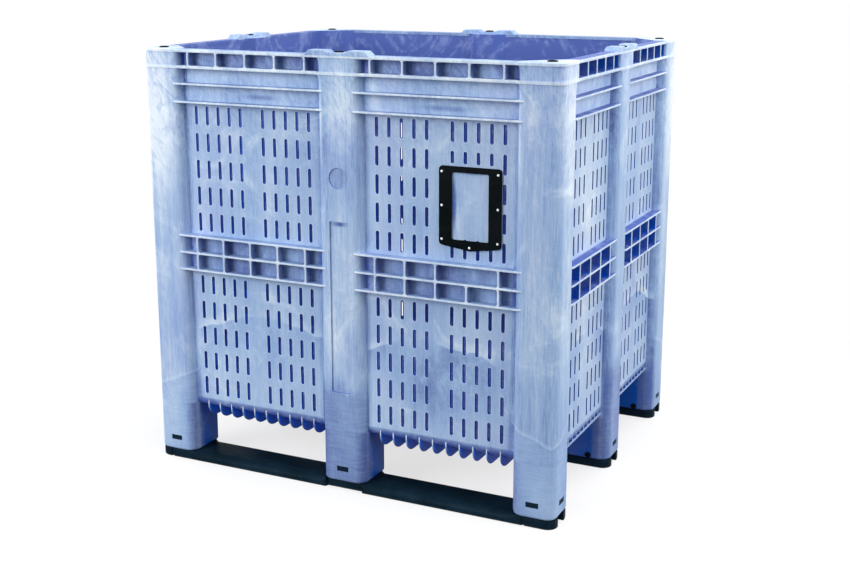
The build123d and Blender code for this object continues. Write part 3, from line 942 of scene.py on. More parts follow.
def post_rings(l, w):
    """Height, inset of the face, and its widening on a long and on a short wall, up a post to the rim."""
    top = panel_high.z
    rim_low = top - 2 * w.flange - w.cell_height
    rings = [(panel_low.z, l.bead, 0.0, 0.0)]
    for low, high in ((rim_low, rim_low + w.flange), (top - w.flange, top)):
        for spread_out, below in fillet(ARC_STEPS):
            grown = l.flare * spread_out
            short = grown if low == rim_low else l.flare
            rings.append((low - l.flare_height * below, l.bead, grown, short))
        rings.append((low, 0.0, l.flare, l.flare))
        rings.append((high - w.edge, 0.0, l.flare, l.flare))
        if high < top:
            rings.append((high, 0.0, l.flare, l.flare))
            rings.append((high, l.bead, 0.0, l.flare))
    rings.append((top, w.edge, l.flare - w.edge, l.flare - w.edge))
    return rings


def edge_rounding(l, widening):
    """Rounding of a post's edge, which is sharper where the face widens under the rim."""
    return l.edge_radius + (l.rim_edge - l.edge_radius) * widening / l.flare


def corner_radii(l, widening=0.0, short=0.0):
    """Roundings of a corner post's section."""
    return (0, 0, edge_rounding(l, widening), 0, l.corner_radius, 0, edge_rounding(l, short), 0, 0)


def corner_section(l, w, inset, widening, short):
    """Section of a corner post, in its corner's own frame, widened on its long and its short wall."""
    face = l.corner - w.lean + widening
    short_face = l.corner - w.lean + short
    wall = w.recess + w.skin
    middle = (face + l.corner_radius) / 2
    points = [
        (l.corner, wall),
        (l.corner, w.recess),
        (face, inset),
        (middle, inset),
        (inset, inset),
        (inset, middle),
        (inset, short_face),
        (w.recess, l.corner),
        (wall, l.corner),
    ]
    return rounded(points, corner_radii(l, widening, short))


def middle_radii(l, widening=0.0):
    """Roundings of a middle post's section."""
    edge = edge_rounding(l, widening)
    return (0, 0, edge, 0, 0, 0, edge, 0, 0, 0, 0)


def middle_section(l, w, width, inset, widening):
    """Section of a middle post, in its wall's own frame."""
    half = width / 2
    face = half - w.lean + widening
    wall = w.recess + w.skin
    points = [
        (half, wall),
        (half, w.recess),
        (face, inset),
        (face / 2, inset),
        (0.0, inset),
        (-face / 2, inset),
        (-face, inset),
        (-half, w.recess),
        (-half, wall),
        (-l.inner_flat / 2, l.depth),
        (l.inner_flat / 2, l.depth),
    ]
    return rounded(points, middle_radii(l, widening))


def middle_tones(flank):
    """Values along the section of a middle post: painted shade inside, on its flanks and, on the short walls,
    on edges that turn away from the front.
    """
    edge = EDGE if flank == FLANK else TURNED
    return (INSIDE, flank, (edge, 0.0), 0.0, MIDDLE, 0.0, (0.0, edge), flank, INSIDE, INSIDE, INSIDE)


def post_shape(section, tones, l, w):
    """A post raised over its section."""
    rings = post_rings(l, w)
    cells_high = panel_high.z - w.flange - w.edge
    cells_low = panel_high.z - w.flange - w.cell_height - w.edge

    # painted shade on the flanks in the rim's cell zone; the rim's lines rubbed pale with a painted highlight
    def worn_and_shaded(ring, side):
        ends = tones[side], tones[(side + 1) % len(tones)]
        if INSIDE in ends:
            return 0.0
        for flank, deep in CELL_FLANKS.items():
            if flank in ends:
                return deep if cells_low < rings[ring][0] < cells_high else 0.0
        return POST_LINE if rings[ring][1] < l.bead and rings[ring + 1][1] < l.bead else 0.0

    return lofted([[(p.x, p.y, z) for p in section(*ring)] for z, *ring in rings], worn_and_shaded, tones, POST_END)


def foot_shape(outline, l, tones):
    """A foot with a rounded lower edge."""
    levels = [(foot_low.z + l.foot_round * up, l.foot_round * inset) for up, inset in fillet(ARC_STEPS)]
    levels.append((foot_high.z, 0.0))
    if anticlockwise(outline) is not outline:
        outline = outline[::-1]
        tones = tones[::-1]
    # painted shade on the foot's bottom and top
    return slab(outline, levels, tones, SHELTERED_IN_SHADE)


def window_cutter(l, centres):
    """Blocks that cut the windows of a foot; each centre is a place on the foot and the way out of it."""
    blocks = []
    for place, out in centres:
        along = Vector((-out[1], out[0], 0)) * l.window_width / 2
        inwards = Vector((out[0], out[1], 0)) * -l.window_depth
        outwards = Vector((out[0], out[1], 0)) * CLEAR
        ring = [-along + outwards, along + outwards, along + inwards, -along + inwards]
        middle = Vector((place[0], place[1], l.window_level))
        rise = Vector((0, 0, l.window_height / 2))
        blocks.append(lofted([[middle + p - rise for p in ring], [middle + p + rise for p in ring]]))
    return merged(*blocks)


def corner_foot(l, w):
    """The foot under a corner post, in its corner's own frame."""
    face = l.corner - w.lean
    points = [
        (l.corner, w.recess),
        (face, l.bead),
        (l.bead, l.bead),
        (l.bead, face),
        (w.recess, l.corner),
        (l.flank, l.corner),
        (l.corner, l.corner),
        (l.corner, l.flank),
    ]
    radii = (0, l.edge_radius, l.corner_radius, l.edge_radius, 0, 0, l.foot_edge, 0)
    # painted shade on the flanks, deepest where they run in under the box, and on edges that turn away from
    # the front
    tones = (FLANK, (TURNED, 0.0), EDGE, (0.0, TURNED), FLANK, FOOT_FLANK, SHELTERED_IN_SHADE, FOOT_FLANK)
    foot = foot_shape(rounded(points, radii), l, spread(tones, radii))
    middle = l.corner / 2
    return carved(foot, window_cutter(l, [((middle, l.bead), (0, -1)), ((l.bead, middle), (-1, 0))]))


def middle_foot(l, w, width):
    """The foot under a middle post, in its wall's own frame."""
    half = width / 2
    face = half - w.lean
    points = [
        (half, w.recess),
        (face, l.bead),
        (-face, l.bead),
        (-half, w.recess),
        (-half, l.flank),
        (-half, l.foot_depth),
        (half, l.foot_depth),
        (half, l.flank),
    ]
    radii = (0, l.edge_radius, l.edge_radius, 0, 0, l.foot_edge, l.foot_edge, 0)
    # painted shade on the flanks, deepest where they run in under the box, and on edges that turn away from
    # the front
    tones = (FLANK, (TURNED, 0.0), (0.0, TURNED), FLANK, FOOT_FLANK, SHELTERED_IN_SHADE, SHELTERED_IN_SHADE, FOOT_FLANK)
    foot = foot_shape(rounded(points, radii), l, spread(tones, radii))
    return carved(foot, window_cutter(l, [((0, l.bead), (0, -1))]))


def crown_shape(l, w):
    """Crown of a middle post: two lugs with a saddle between them."""
    rim = panel_high.z
    top = cad_high.z
    half = [
        (l.crown_reach, rim - w.flange / 2),
        (l.crown_reach, rim),
        (l.crown_reach - l.crown_bevel, top),
        (l.crown_start, top),
        (l.crown_start - l.crown_slope, rim + l.crown_saddle),
    ]
    outline = anticlockwise([Vector(p) for p in half] + [Vector((-x, z)) for x, z in reversed(half)])
    depth = w.recess + w.skin + CROWN_LIP * w.lip
    steps = ((-HAIR, w.edge), (w.edge, 0.0), (depth - w.edge, 0.0), (depth, w.edge))
    return lofted([[(p.x, y, p.y) for p in shrunk(outline, inset)] for y, inset in steps])


def pressed(post, l, outline, depth, tones):
    """A middle post with a shallow place in its face; tones are the values of its sides and its floor, painted
    shade on the sides.
    """
    sides, floor = tones
    rings = [[(p.x, y, p.y) for p in outline] for y in (l.bead - CLEAR, l.bead + depth)]
    return carved(post, lofted(rings, sides, None, floor))


# Runners


def runner_shape(b, l, outer):
    """A runner along x with its middle on y = 0; outer says whether its edge towards -y is notched."""
    half = (runner_high.y - runner_low.y) / 2
    end = runner_high.x
    height = foot_low.z
    soft = b.runner_edge
    corner_foot_middle = half_length - l.corner / 2
    notches = ()
    if outer:
        notches = (
            (-corner_foot_middle - b.left_seam, b.edge_notch, b.seam_depth),
            (0.0, b.middle_notch, b.notch_depth),
            (corner_foot_middle - b.right_seam, b.edge_notch, b.seam_depth),
        )
    bay_ends = [l.long_post / 2, half_length - l.corner]
    stations = []
    for turned, _ in fillet(CORNER_STEPS):
        x = end - b.runner_round * turned
        stations += [-x, x]
    for centre, width, _ in notches:
        for edge in (centre - width / 2, centre + width / 2):
            stations += [edge - b.notch_slope, edge + b.notch_slope]
    for x in bay_ends:
        stations += [x - soft, x + soft, -x - soft, -x + soft]

    def section(x):
        into_round = max(0.0, b.runner_round - (end - abs(x)))
        inner_edge = half - b.runner_round + math.sqrt(max(0.0, b.runner_round**2 - into_round**2))
        outer_edge = -inner_edge
        for centre, width, depth in notches:
            if abs(x - centre) < width / 2:
                outer_edge += depth
        in_bay = bay_ends[0] < abs(x) < bay_ends[1]
        rise = b.runner_bevel if in_bay else soft
        run = rise * (SLOPE if in_bay else 1.0)
        turn = fillet(FILLET_STEPS)
        right = [(inner_edge - soft, 0.0), (inner_edge, soft)]
        right += [(inner_edge - run * y, height - rise * z) for y, z in turn]
        left = [(outer_edge + run * y, height - rise * z) for y, z in reversed(turn)]
        left += [(outer_edge, soft), (outer_edge + soft, 0.0)]
        return [(x, y, z) for y, z in right + left]

    bar = lofted([section(x) for x in sorted(stations)])
    wide = b.notch_width / 2
    cutters = []
    for x in (-end, end):
        cutters.append(block((x - b.end_notch, -wide, -CLEAR), (x + b.end_notch, wide, height + CLEAR)))
    return carved(bar, merged(*cutters))


# Finishes


class Pattern:
    """The nodes of one shader; a value is a number or another node's output."""

    def __init__(self, tree):
        self.tree = tree

    def join(self, socket, value):
        """Gives an input its value."""
        if isinstance(value, bpy.types.NodeSocket):
            self.tree.links.new(value, socket)
        else:
            socket.default_value = value

    def node(self, kind, inputs, **settings):
        """A node with its settings and inputs."""
        made = self.tree.nodes.new(kind)
        for key, value in settings.items():
            setattr(made, key, value)
        for key, value in inputs.items():
            self.join(made.inputs[key], value)
        return made

    def places(self):
        """Places on the piece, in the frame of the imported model."""
        return self.node("ShaderNodeTexCoord", {}).outputs["Object"]

    def stretched(self, places, stretch, turn=(0, 0, 0)):
        """Places turned, and then stretched along the axes."""
        turned = self.node("ShaderNodeMapping", {"Vector": places, "Rotation": turn}).outputs[0]
        return self.node("ShaderNodeMapping", {"Vector": turned, "Scale": stretch}).outputs[0]

    def noise(self, places, scale, detail=4.0, roughness=0.55, distortion=0.0):
        """Cloudy pattern from 0 to 1."""
        inputs = {"Vector": places, "Scale": scale, "Detail": detail}
        inputs |= {"Roughness": roughness, "Distortion": distortion}
        return self.node("ShaderNodeTexNoise", inputs).outputs[0]

    def between(self, value, low, high):
        """A value smoothly mapped from low..high to 0..1."""
        inputs = {"Value": value, "From Min": low, "From Max": high}
        return self.node("ShaderNodeMapRange", inputs, interpolation_type="SMOOTHSTEP").outputs[0]

    def maths(self, operation, *values):
        """Arithmetic on some values."""
        return self.node("ShaderNodeMath", dict(enumerate(values)), operation=operation).outputs[0]

    def times(self, first, second):
        """Product of two values."""
        return self.maths("MULTIPLY", first, second)

    def plus(self, first, second):
        """Sum of two values."""
        return self.maths("ADD", first, second)

    def minus(self, first, second):
        """The first value less the second."""
        return self.maths("SUBTRACT", first, second)

    def least(self, first, second):
        """The lower of two values."""
        return self.maths("MINIMUM", first, second)

    def most(self, first, second):
        """The higher of two values."""
        return self.maths("MAXIMUM", first, second)

    def weighed(self, value, weight, start):
        """A value times a weight, on top of a start."""
        return self.maths("MULTIPLY_ADD", value, weight, start)

    def away(self, places):
        """How far places are from the origin."""
        return self.node("ShaderNodeVectorMath", {0: places}, operation="LENGTH").outputs["Value"]

    def mixed(self, factor, first, second):
        """Mix of two colours."""
        start, end = [c if isinstance(c, bpy.types.NodeSocket) else (*c, 1.0) for c in (first, second)]
        return self.node("ShaderNodeMix", {0: factor, 6: start, 7: end}, data_type="RGBA").outputs[2]

    def soft_spot(self, places, middle, reach):
        """1 in the middle of a soft round spot, falling to 0 at its reach along each axis."""
        inputs = {"Vector": places, "Location": middle, "Scale": reach}
        spot = self.node("ShaderNodeMapping", inputs, vector_type="TEXTURE").outputs[0]
        return self.between(self.away(spot), 1.0, 0.0)

    def bump(self, shader, strength, height):
        """Fine relief on a surface."""
        inputs = {"Strength": strength, "Distance": 0.001, "Height": height}
        self.join(shader.inputs["Normal"], self.node("ShaderNodeBump", inputs).outputs[0])


def new_finish(name):
    """An empty material, its pattern and its surface shader."""
    finish = bpy.data.materials.new(name)
    finish.use_nodes = True
    return finish, Pattern(finish.node_tree), finish.node_tree.nodes["Principled BSDF"]


# Pale and dark places: middle, reach along each axis, strength; some are pale streaks in the plastic, the ones
# marked below are painted light, painted highlights and painted shadows
# Each shows again with the box turned half round
SPOTS = (
    # pale streaks on the left corner post, with painted light, brighter towards the lamp on the left
    ((-0.570, -0.50, 0.98), (0.115, 0.14, 0.36), 1.10),
    ((-0.560, -0.50, 0.55), (0.030, 0.12, 0.35), 0.25),
    ((-0.600, -0.44, 0.70), (0.06, 0.070, 0.55), 0.35),
    ((0.010, -0.50, 1.02), (0.065, 0.06, 0.15), 0.45),
    ((-0.030, -0.50, 0.45), (0.030, 0.06, 0.20), 0.35),
    # painted light on the right face of the front right corner post, which a lamp on the right lights
    ((0.600, -0.43, 1.00), (0.05, 0.085, 0.40), 0.70),
    ((0.600, -0.43, 0.55), (0.05, 0.085, 0.30), 0.45),
    ((0.525, -0.50, 1.03), (0.030, 0.05, 0.10), 0.40),
    ((0.545, -0.50, 0.55), (0.060, 0.06, 0.35), 0.30),
    ((0.000, -0.50, 0.60), (0.070, 0.06, 0.32), 0.25),
    ((-0.560, -0.50, 0.20), (0.090, 0.10, 0.24), 0.42),
    # painted highlight along the middle post's left edge
    ((-0.053, -0.50, 1.00), (0.011, 0.04, 0.16), 0.80),
    # painted shadow of the label frame on the skin along its window's left and top edges
    ((0.312, -0.473, 0.80), (0.010, 0.02, 0.10), -0.90),
    ((0.36, -0.473, 0.884), (0.06, 0.02, 0.008), -0.50),
    # painted highlight along the right post's left edge
    ((0.487, -0.50, 0.98), (0.012, 0.04, 0.18), 0.80),
    # painted light on the right wall's panels
    ((0.573, -0.22, 0.75), (0.018, 0.22, 0.45), 0.35),
    ((0.573, 0.22, 0.75), (0.018, 0.22, 0.45), 0.35),
    ((0.550, -0.50, 0.20), (0.080, 0.08, 0.24), -0.04),
    # painted shadow under the top end of the middle post's hollow
    ((0.000, -0.495, 0.728), (0.030, 0.03, 0.009), -0.90),
    ((0.300, -0.473, 0.33), (0.210, 0.05, 0.150), -0.30),
    ((-0.240, -0.47, 1.040), (0.080, 0.04, 0.012), -0.45),
    ((0.290, -0.47, 1.038), (0.100, 0.04, 0.012), -0.45),
    # painted light on the right wall
    ((0.590, -0.20, 0.45), (0.05, 0.130, 0.30), 0.30),
    ((0.590, 0.24, 0.85), (0.05, 0.130, 0.30), 0.30),
)


def moulded_blue(colours):
    """Light blue moulded plastic: fibrous streaks, flow lines, bleached places and pale rubbed edges, with
    painted shade in recesses, flanks, cells and inside the box, painted highlights, painted light and shadow
    spots, and a painted glow on the deck's ribs.
    """
    finish, p, shader = new_finish("moulded_blue")
    places = p.places()
    axes = p.node("ShaderNodeSeparateXYZ", {"Vector": places}).outputs
    height = axes[2]
    wear_and_shade = p.node("ShaderNodeAttribute", {}, attribute_name="wear_and_shade").outputs["Fac"]

    fibre = p.noise(p.stretched(places, (330, 330, 18)), 1.0, 3, 0.65, 0.9)
    streak = p.noise(p.stretched(places, (50, 50, 2.6)), 1.0, 4, 0.6, 0.9)
    sweep = p.noise(p.stretched(places, (60, 60, 7), (0.45, 0.45, 0)), 1.0, 4, 0.6, 1.2)
    cloud = p.noise(p.stretched(places, (6, 6, 2.6)), 1.0, 3, 0.5, 0.5)
    smear = p.noise(places, 6.5, 6, 0.66, 1.1)
    swirl = p.noise(places, 4.2, 5, 0.55, 5.0)
    ripple = p.noise(p.stretched(places, (16, 16, 190)), 1.0, 3, 0.6, 0.9)
    grain = p.noise(places, 420, 2, 0.6)
    wobble = p.weighed(p.noise(places, 9, 3, 0.6), 0.05, -0.025)

    # how far along its wall a point is, from 0 in the middle to 1 at the corner
    along_x = p.maths("DIVIDE", p.maths("ABSOLUTE", axes[0]), half_length)
    along_y = p.maths("DIVIDE", p.maths("ABSOLUTE", axes[1]), half_width)
    along = p.least(along_x, along_y)
    on_panel = p.times(p.between(along, 0.11, 0.12), p.between(along, 0.79, 0.755))
    on_panel = p.times(on_panel, p.between(height, 0.140, 0.165))
    at_corner = p.between(along, 0.78, 0.80)

    # a flow line across the posts, which dips at the corners; below it the plastic is rippled and darker
    post_line = p.least(p.weighed(along, -0.226, 0.436), 0.285)
    below = p.minus(p.plus(post_line, wobble), height)
    frayed = p.plus(below, p.weighed(streak, 0.16, -0.08))
    soft_edge = p.between(frayed, -0.045, 0.035)
    crisp_edge = p.between(below, -0.006, 0.004)
    low_post = p.weighed(p.minus(crisp_edge, soft_edge), at_corner, soft_edge)
    low_post = p.times(low_post, p.minus(1.0, on_panel))
    corner_line = p.times(p.between(below, -0.012, 0.0), p.between(below, 0.004, 0.0))

    # a flow line in a low arch across each panel, with a frayed pale edge above it
    offset = p.minus(along, 0.42)
    arch = p.weighed(p.times(offset, offset), -0.43, 0.44)
    under = p.minus(p.plus(arch, wobble), height)
    fade = p.times(on_panel, p.between(cloud, 0.38, 0.58))
    shadow = p.times(p.between(under, -0.003, 0.005), p.between(under, 0.12, 0.0))
    fringe = p.times(p.between(under, -0.035, 0.0), p.between(under, 0.004, 0.0))

    # the inside of the box, which gets painted shade
    inside = p.times(p.between(wear_and_shade, -0.45, -0.60), p.between(height, 0.16, 0.18))
    upright = p.weighed(fibre, 0.90, p.weighed(streak, 0.65, -0.77))
    upright = p.times(upright, p.weighed(on_panel, -0.45, 1.0))
    swept = p.weighed(p.weighed(sweep, 0.9, -0.45), p.between(height, 0.80, 1.05), upright)
    flat = p.weighed(ripple, 0.38, p.weighed(fibre, 0.3, p.weighed(at_corner, 0.26, -0.68)))
    curled = p.weighed(p.between(swirl, 0.35, 0.70), 1.00, p.weighed(fibre, 0.45, -0.70))
    grown = p.weighed(p.minus(flat, swept), low_post, swept)
    grown = p.weighed(p.minus(curled, grown), inside, grown)

    level = p.weighed(cloud, 0.80, -0.40)
    wisps = p.times(p.between(smear, 0.50, 0.80), p.weighed(low_post, -0.8, 1.0))
    level = p.weighed(wisps, 0.55, p.minus(level, 0.08))
    level = p.plus(level, grown)
    level = p.weighed(grain, 0.36, p.minus(level, 0.18))
    # patterns grow fainter in the painted shade
    level = p.times(level, p.weighed(p.between(wear_and_shade, -0.2, -0.9), -0.65, 1.0))
    level = p.weighed(p.times(shadow, fade), -0.26, level)
    level = p.weighed(p.times(fringe, p.times(fade, streak)), 0.60, level)
    level = p.weighed(p.times(corner_line, at_corner), 0.22, level)
    turn = p.times(p.maths("SIGN", axes[1]), -1.0)
    turned = {"X": p.times(axes[0], turn), "Y": p.times(axes[1], turn), "Z": height}
    turned = p.node("ShaderNodeCombineXYZ", turned).outputs[0]
    # pale streaks, painted light, painted highlights and painted shadows from SPOTS
    for middle, reach, strength in SPOTS:
        spot = p.times(p.soft_spot(turned, middle, reach), sweep)
        level = p.weighed(spot, 2 * strength, level)
    patchy = p.weighed(p.between(p.noise(places, 38, 4, 0.65), 0.25, 0.65), 0.5, 0.6)
    # the wear_and_shade value: rubbed pale, and painted shade
    level = p.weighed(wear_and_shade, patchy, level)
    # the deepest painted shade only where the value is very low
    lowest = p.weighed(p.between(wear_and_shade, -0.7, -1.1), -2.0, -0.72)
    level = p.most(level, lowest)
    # the painted shade inside the box keeps its strokes from growing pale
    level = p.least(level, p.weighed(inside, -1.2, 1.0))
    # painted shade, deeper down inside the box
    level = p.weighed(p.times(inside, p.between(height, 1.0, 0.7)), -0.14, level)
    ramp = p.node("ShaderNodeValToRGB", {"Fac": p.weighed(level, 0.5, 0.53)})
    stops = ramp.color_ramp.elements
    stops[0].position = 0.0
    stops[0].color = (*colours.sheltered_in_shade, 1)
    stops[1].position = 1.0
    stops[1].color = (*colours.pale, 1)
    for position, colour in ((0.26, colours.shaded), (0.48, colours.body), (0.68, colours.light)):
        stop = stops.new(position)
        stop.color = (*colour, 1)
    cast = p.between(p.noise(p.stretched(places, (3.1, 3.1, 1.7)), 1.0, 3, 0.6, 0.8), 0.48, 0.78)
    tone = p.mixed(p.times(cast, 0.20), ramp.outputs[0], colours.violet)
    # painted shade inside the box, with pale strokes
    inside_shade = p.mixed(p.between(level, -0.86, -0.2), colours.inside_shade, colours.inside_shade_strokes)
    tone = p.mixed(p.times(inside, p.between(wear_and_shade, -0.76, -0.70)), tone, inside_shade)
    # painted glow on the flat sides of the deck's ribs
    tone = p.mixed(p.between(wear_and_shade, -1.9, -2.3), tone, colours.thin)
    p.join(shader.inputs["Base Color"], tone)
    p.join(shader.inputs["Roughness"], p.weighed(smear, 0.25, 0.36))
    p.join(shader.inputs["Specular IOR Level"], 0.2)
    p.bump(shader, 0.22, p.weighed(fibre, 0.8, grain))
    return finish


def black_plastic(name, colour, scuff_colour, roughness):
    """Black moulded plastic with faint scuffs along its length."""
    finish, p, shader = new_finish(name)
    places = p.places()
    scuff = p.between(p.noise(p.stretched(places, (7, 60, 60)), 1.0, 5, 0.65, 0.8), 0.46, 0.75)
    cloud = p.between(p.noise(places, 11, 4, 0.6), 0.35, 0.75)
    tone = p.mixed(p.most(scuff, cloud), colour, scuff_colour)
    p.join(shader.inputs["Base Color"], tone)
    p.join(shader.inputs["Roughness"], p.weighed(scuff, 0.2, roughness))
    p.join(shader.inputs["Specular IOR Level"], 0.015)
    p.bump(shader, 0.15, p.noise(places, 300, 2))
    return finish


def rivet_metal(colours):
    """Plain aluminium, a little dull."""
    finish, p, shader = new_finish("rivet_metal")
    places = p.places()
    dull = p.between(p.noise(places, 700, 3), 0.3, 0.7)
    tone = p.mixed(p.times(dull, 0.3), colours.rivet, colours.rivet_dull)
    p.join(shader.inputs["Base Color"], tone)
    p.join(shader.inputs["Metallic"], 0.6)
    p.join(shader.inputs["Roughness"], p.weighed(dull, 0.15, 0.35))
    return finish


def finish_named(name):
    """One of the box's finishes, made when it is first asked for."""
    colours = bpy.context.scene.box_colours
    makers = {
        "moulded_blue": lambda: moulded_blue(colours),
        "runner_black": lambda: black_plastic("runner_black", colours.runner, colours.runner_scuff, 0.34),
        "fitting_black": lambda: black_plastic("fitting_black", colours.fitting, colours.fitting_scuff, 0.36),
        "rivet_metal": lambda: rivet_metal(colours),
    }
    return bpy.data.materials.get(name) or makers[name]()


# Operators


class BOX_OT_walls(bpy.types.Operator):
    """Build the eight slotted wall panels"""

    bl_idname = "harvest_box.walls"
    bl_label = "Wall panels"

    def execute(self, context):
        sizes = context.scene.box_walls
        finish = finish_named("moulded_blue")
        long_panel, long_offset = panel_shape(sizes, True, finish)
        short_panel, short_offset = panel_shape(sizes, False, finish)

        def bare(column, row):
            at_label = sizes.long_columns + 1 < column < 2 * sizes.long_columns + 1
            return LABEL_ROWS.get(2 * sizes.slot_rows + 2 - row, 0) if at_label else 0

        label_panel, _ = panel_shape(sizes, True, finish, bare)
        for wall, sides in WALL_SIDES.items():
            on_long_wall = wall in LONG_WALLS
            offset = long_offset if on_long_wall else short_offset
            for side, name in zip((-1, 1), sides):
                shape = long_panel if on_long_wall else short_panel
                if (wall, name) == ("front", "right"):
                    shape = label_panel
                node_name = f"panel_{wall}_{name}"
                place = wall_matrix(wall) @ Matrix.Translation((side * offset, 0, 0))
                placed(f"slotted_{node_name}", shape.moved(place), finish, [node_name])
        return {"FINISHED"}


class BOX_OT_corner_legs(bpy.types.Operator):
    """Build the four corner posts with their feet"""

    bl_idname = "harvest_box.corner_legs"
    bl_label = "Corner legs"

    def execute(self, context):
        l = context.scene.box_legs
        w = context.scene.box_walls
        finish = finish_named("moulded_blue")
        tones = spread(CORNER_TONES, corner_radii(l))
        post = post_shape(lambda *ring: corner_section(l, w, *ring), tones, l, w)
        leg = merged(post, corner_foot(l, w))
        for corner, sides in CORNERS.items():
            shape = leg.moved(corner_matrix(*sides))
            placed(f"corner_leg_{corner}", shape, finish, [f"corner_post_{corner}", f"foot_{corner}"])
        return {"FINISHED"}


class BOX_OT_middle_legs(bpy.types.Operator):
    """Build the four middle posts with their crowns and feet, and the foot under the middle of the deck"""

    bl_idname = "harvest_box.middle_legs"
    bl_label = "Middle legs"

    def execute(self, context):
        l = context.scene.box_legs
        w = context.scene.box_walls
        finish = finish_named("moulded_blue")
        half = l.hollow_width / 2
        hollow = rounded(corner_points((-half, l.hollow_low), (half, l.hollow_high)), [l.hollow_round] * 4)
        place = [p + Vector((0, l.place_level)) for p in circle(l.place_radius, DISC_STEPS)]
        for wall in (*LONG_WALLS, *SHORT_WALLS):
            on_long_wall = wall in LONG_WALLS
            width = l.long_post if on_long_wall else l.short_post
            tones = spread(middle_tones(FLANK if on_long_wall else SHORT_FLANK), middle_radii(l))

            def section(inset, widening, short):
                return middle_section(l, w, width, inset, widening if on_long_wall else short)

            post = post_shape(section, tones, l, w)
            if on_long_wall:
                post = pressed(post, l, hollow, l.hollow_depth, HOLLOW_TONES)
            if wall == "front":
                post = pressed(post, l, place, l.place_depth, PLACE_TONES)
            leg = merged(post, middle_foot(l, w, width), crown_shape(l, w))
            foot_name = f"foot_{wall}_middle" if on_long_wall else f"foot_middle_{wall}"
            shape = leg.moved(wall_matrix(wall))
            placed(f"middle_leg_{wall}", shape, finish, [f"mid_post_{wall}", foot_name])
        outline = rounded(corner_points(*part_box("foot_centre")), [l.foot_edge] * 4)
        # painted shade all round the foot under the middle of the deck
        foot = foot_shape(outline, l, [SHELTERED_IN_SHADE] * len(outline))
        placed("centre_foot", foot, finish, ["foot_centre"])
        return {"FINISHED"}


class BOX_OT_deck(bpy.types.Operator):
    """Build the floor deck with the ribs under it"""

    bl_idname = "harvest_box.deck"
    bl_label = "Floor deck"

    def execute(self, context):
        l = context.scene.box_legs
        w = context.scene.box_walls
        b = context.scene.box_base
        finish = finish_named("moulded_blue")
        plate_low = panel_low.z
        # painted shade on the deck's plate, inside the box and under it
        parts = [slab(self.plate_outline(l, w), ((plate_low, 0.0), (deck_high.z, 0.0)), None, INSIDE)]

        fin = self.fin(w, b, plate_low)
        long_plan = PanelPlan(w, True)
        fins = int(long_plan.bay / b.fin_pitch)
        for side in (-1, 1):
            parts.append(repeated(fin, fins, 1, b.fin_pitch, 0, (side * long_plan.offset, 0, 0), finish))

        tooth = self.tooth(l, w, b, plate_low)
        short_plan = PanelPlan(w, False)
        teeth = int(short_plan.bay / b.tooth_pitch)
        foot = plate_low - b.tooth_drop
        half = (short_plan.bay + b.tooth_lip) / 2
        for wall in SHORT_WALLS:
            for side in (-1, 1):
                middle = side * short_plan.offset
                row = repeated(tooth, teeth, 1, b.tooth_pitch, 0, (middle, 0, 0), finish)
                low = (middle - half, w.recess, foot - HAIR)
                high = (middle + half, w.recess + b.tooth_lip, foot + b.tooth_lip)
                parts.append(merged(row, block(low, high)).moved(wall_matrix(wall)))
        placed("ribbed_floor_deck", merged(*parts), finish, ["floor_deck"])
        return {"FINISHED"}

    def plate_outline(self, l, w):
        """Outline of the deck's plate, drawn in round the posts."""
        wall = w.recess + w.skin
        cut = l.corner - wall
        x_edge = half_length - wall
        y_edge = half_width - wall
        boss = l.depth - wall
        points = []
        for turn in range(4):
            on_long_wall = turn % 2 == 0
            reach, side = (y_edge, x_edge) if on_long_wall else (x_edge, y_edge)
            half = (l.long_post if on_long_wall else l.short_post) / 2
            run = [
                (-side + cut, -reach),
                (-half, -reach),
                (-l.inner_flat / 2, -reach + boss),
                (l.inner_flat / 2, -reach + boss),
                (half, -reach),
                (side - cut, -reach),
            ]
            points += [Matrix.Rotation(math.pi / 2 * turn, 2) @ Vector(p) for p in run]
        return points

    def fin(self, w, b, plate_low):
        """A rib under the deck from wall to wall; its ends rise over the walls' edges and turn under."""
        reach = half_width - w.recess
        start = plate_low + b.fin_start
        bottom = deck_low.z - b.fin_drop
        rise = plate_low + b.fin_turn - bottom
        half = [(reach - NOSE_SEAT * w.skin, start), (reach - w.edge / 2, start + b.fin_nose)]
        half += [(reach - b.fin_round * y, bottom + rise * z) for y, z in fillet(CORNER_STEPS)]
        outline = anticlockwise([Vector((-y, z)) for y, z in half] + [Vector(p) for p in reversed(half)])
        side = b.fin / 2
        steps = ((-side, b.fin_edge), (b.fin_edge - side, 0.0), (side - b.fin_edge, 0.0), (side, b.fin_edge))
        rings = [[(x, p.x, p.y) for p in shrunk(outline, inset)] for x, inset in steps]
        # a painted highlight at the top of a rib's end fading to painted shade at its bottom; its flat sides
        # get the painted glow
        pale, deep = FIN_TONES

        def worn_and_shaded(ring, i):
            return deep + (pale - deep) * (outline[i].y - bottom) / (start - bottom)

        return lofted(rings, worn_and_shaded, None, PAINTED_FIN_GLOW)

    def tooth(self, l, w, b, plate_low):
        """End of a cross rib under a short wall."""
        start = plate_low + b.fin_start
        foot = plate_low - b.tooth_drop
        profile = [(w.recess + NOSE_SEAT * w.skin, start), (w.recess + w.edge / 2, start + b.fin_nose)]
        profile += [(w.recess + b.tooth_drop * y, foot + b.tooth_drop * z) for y, z in fillet(FILLET_STEPS)]
        profile += [(l.depth, foot), (l.depth, start)]
        rings = [[(x, y, z) for y, z in profile] for x in (-b.fin / 2, b.fin / 2)]
        # a pale rib end, with painted shade on its flat sides
        return lofted(rings, TOOTH_TONE, None, SHELTERED_IN_SHADE)


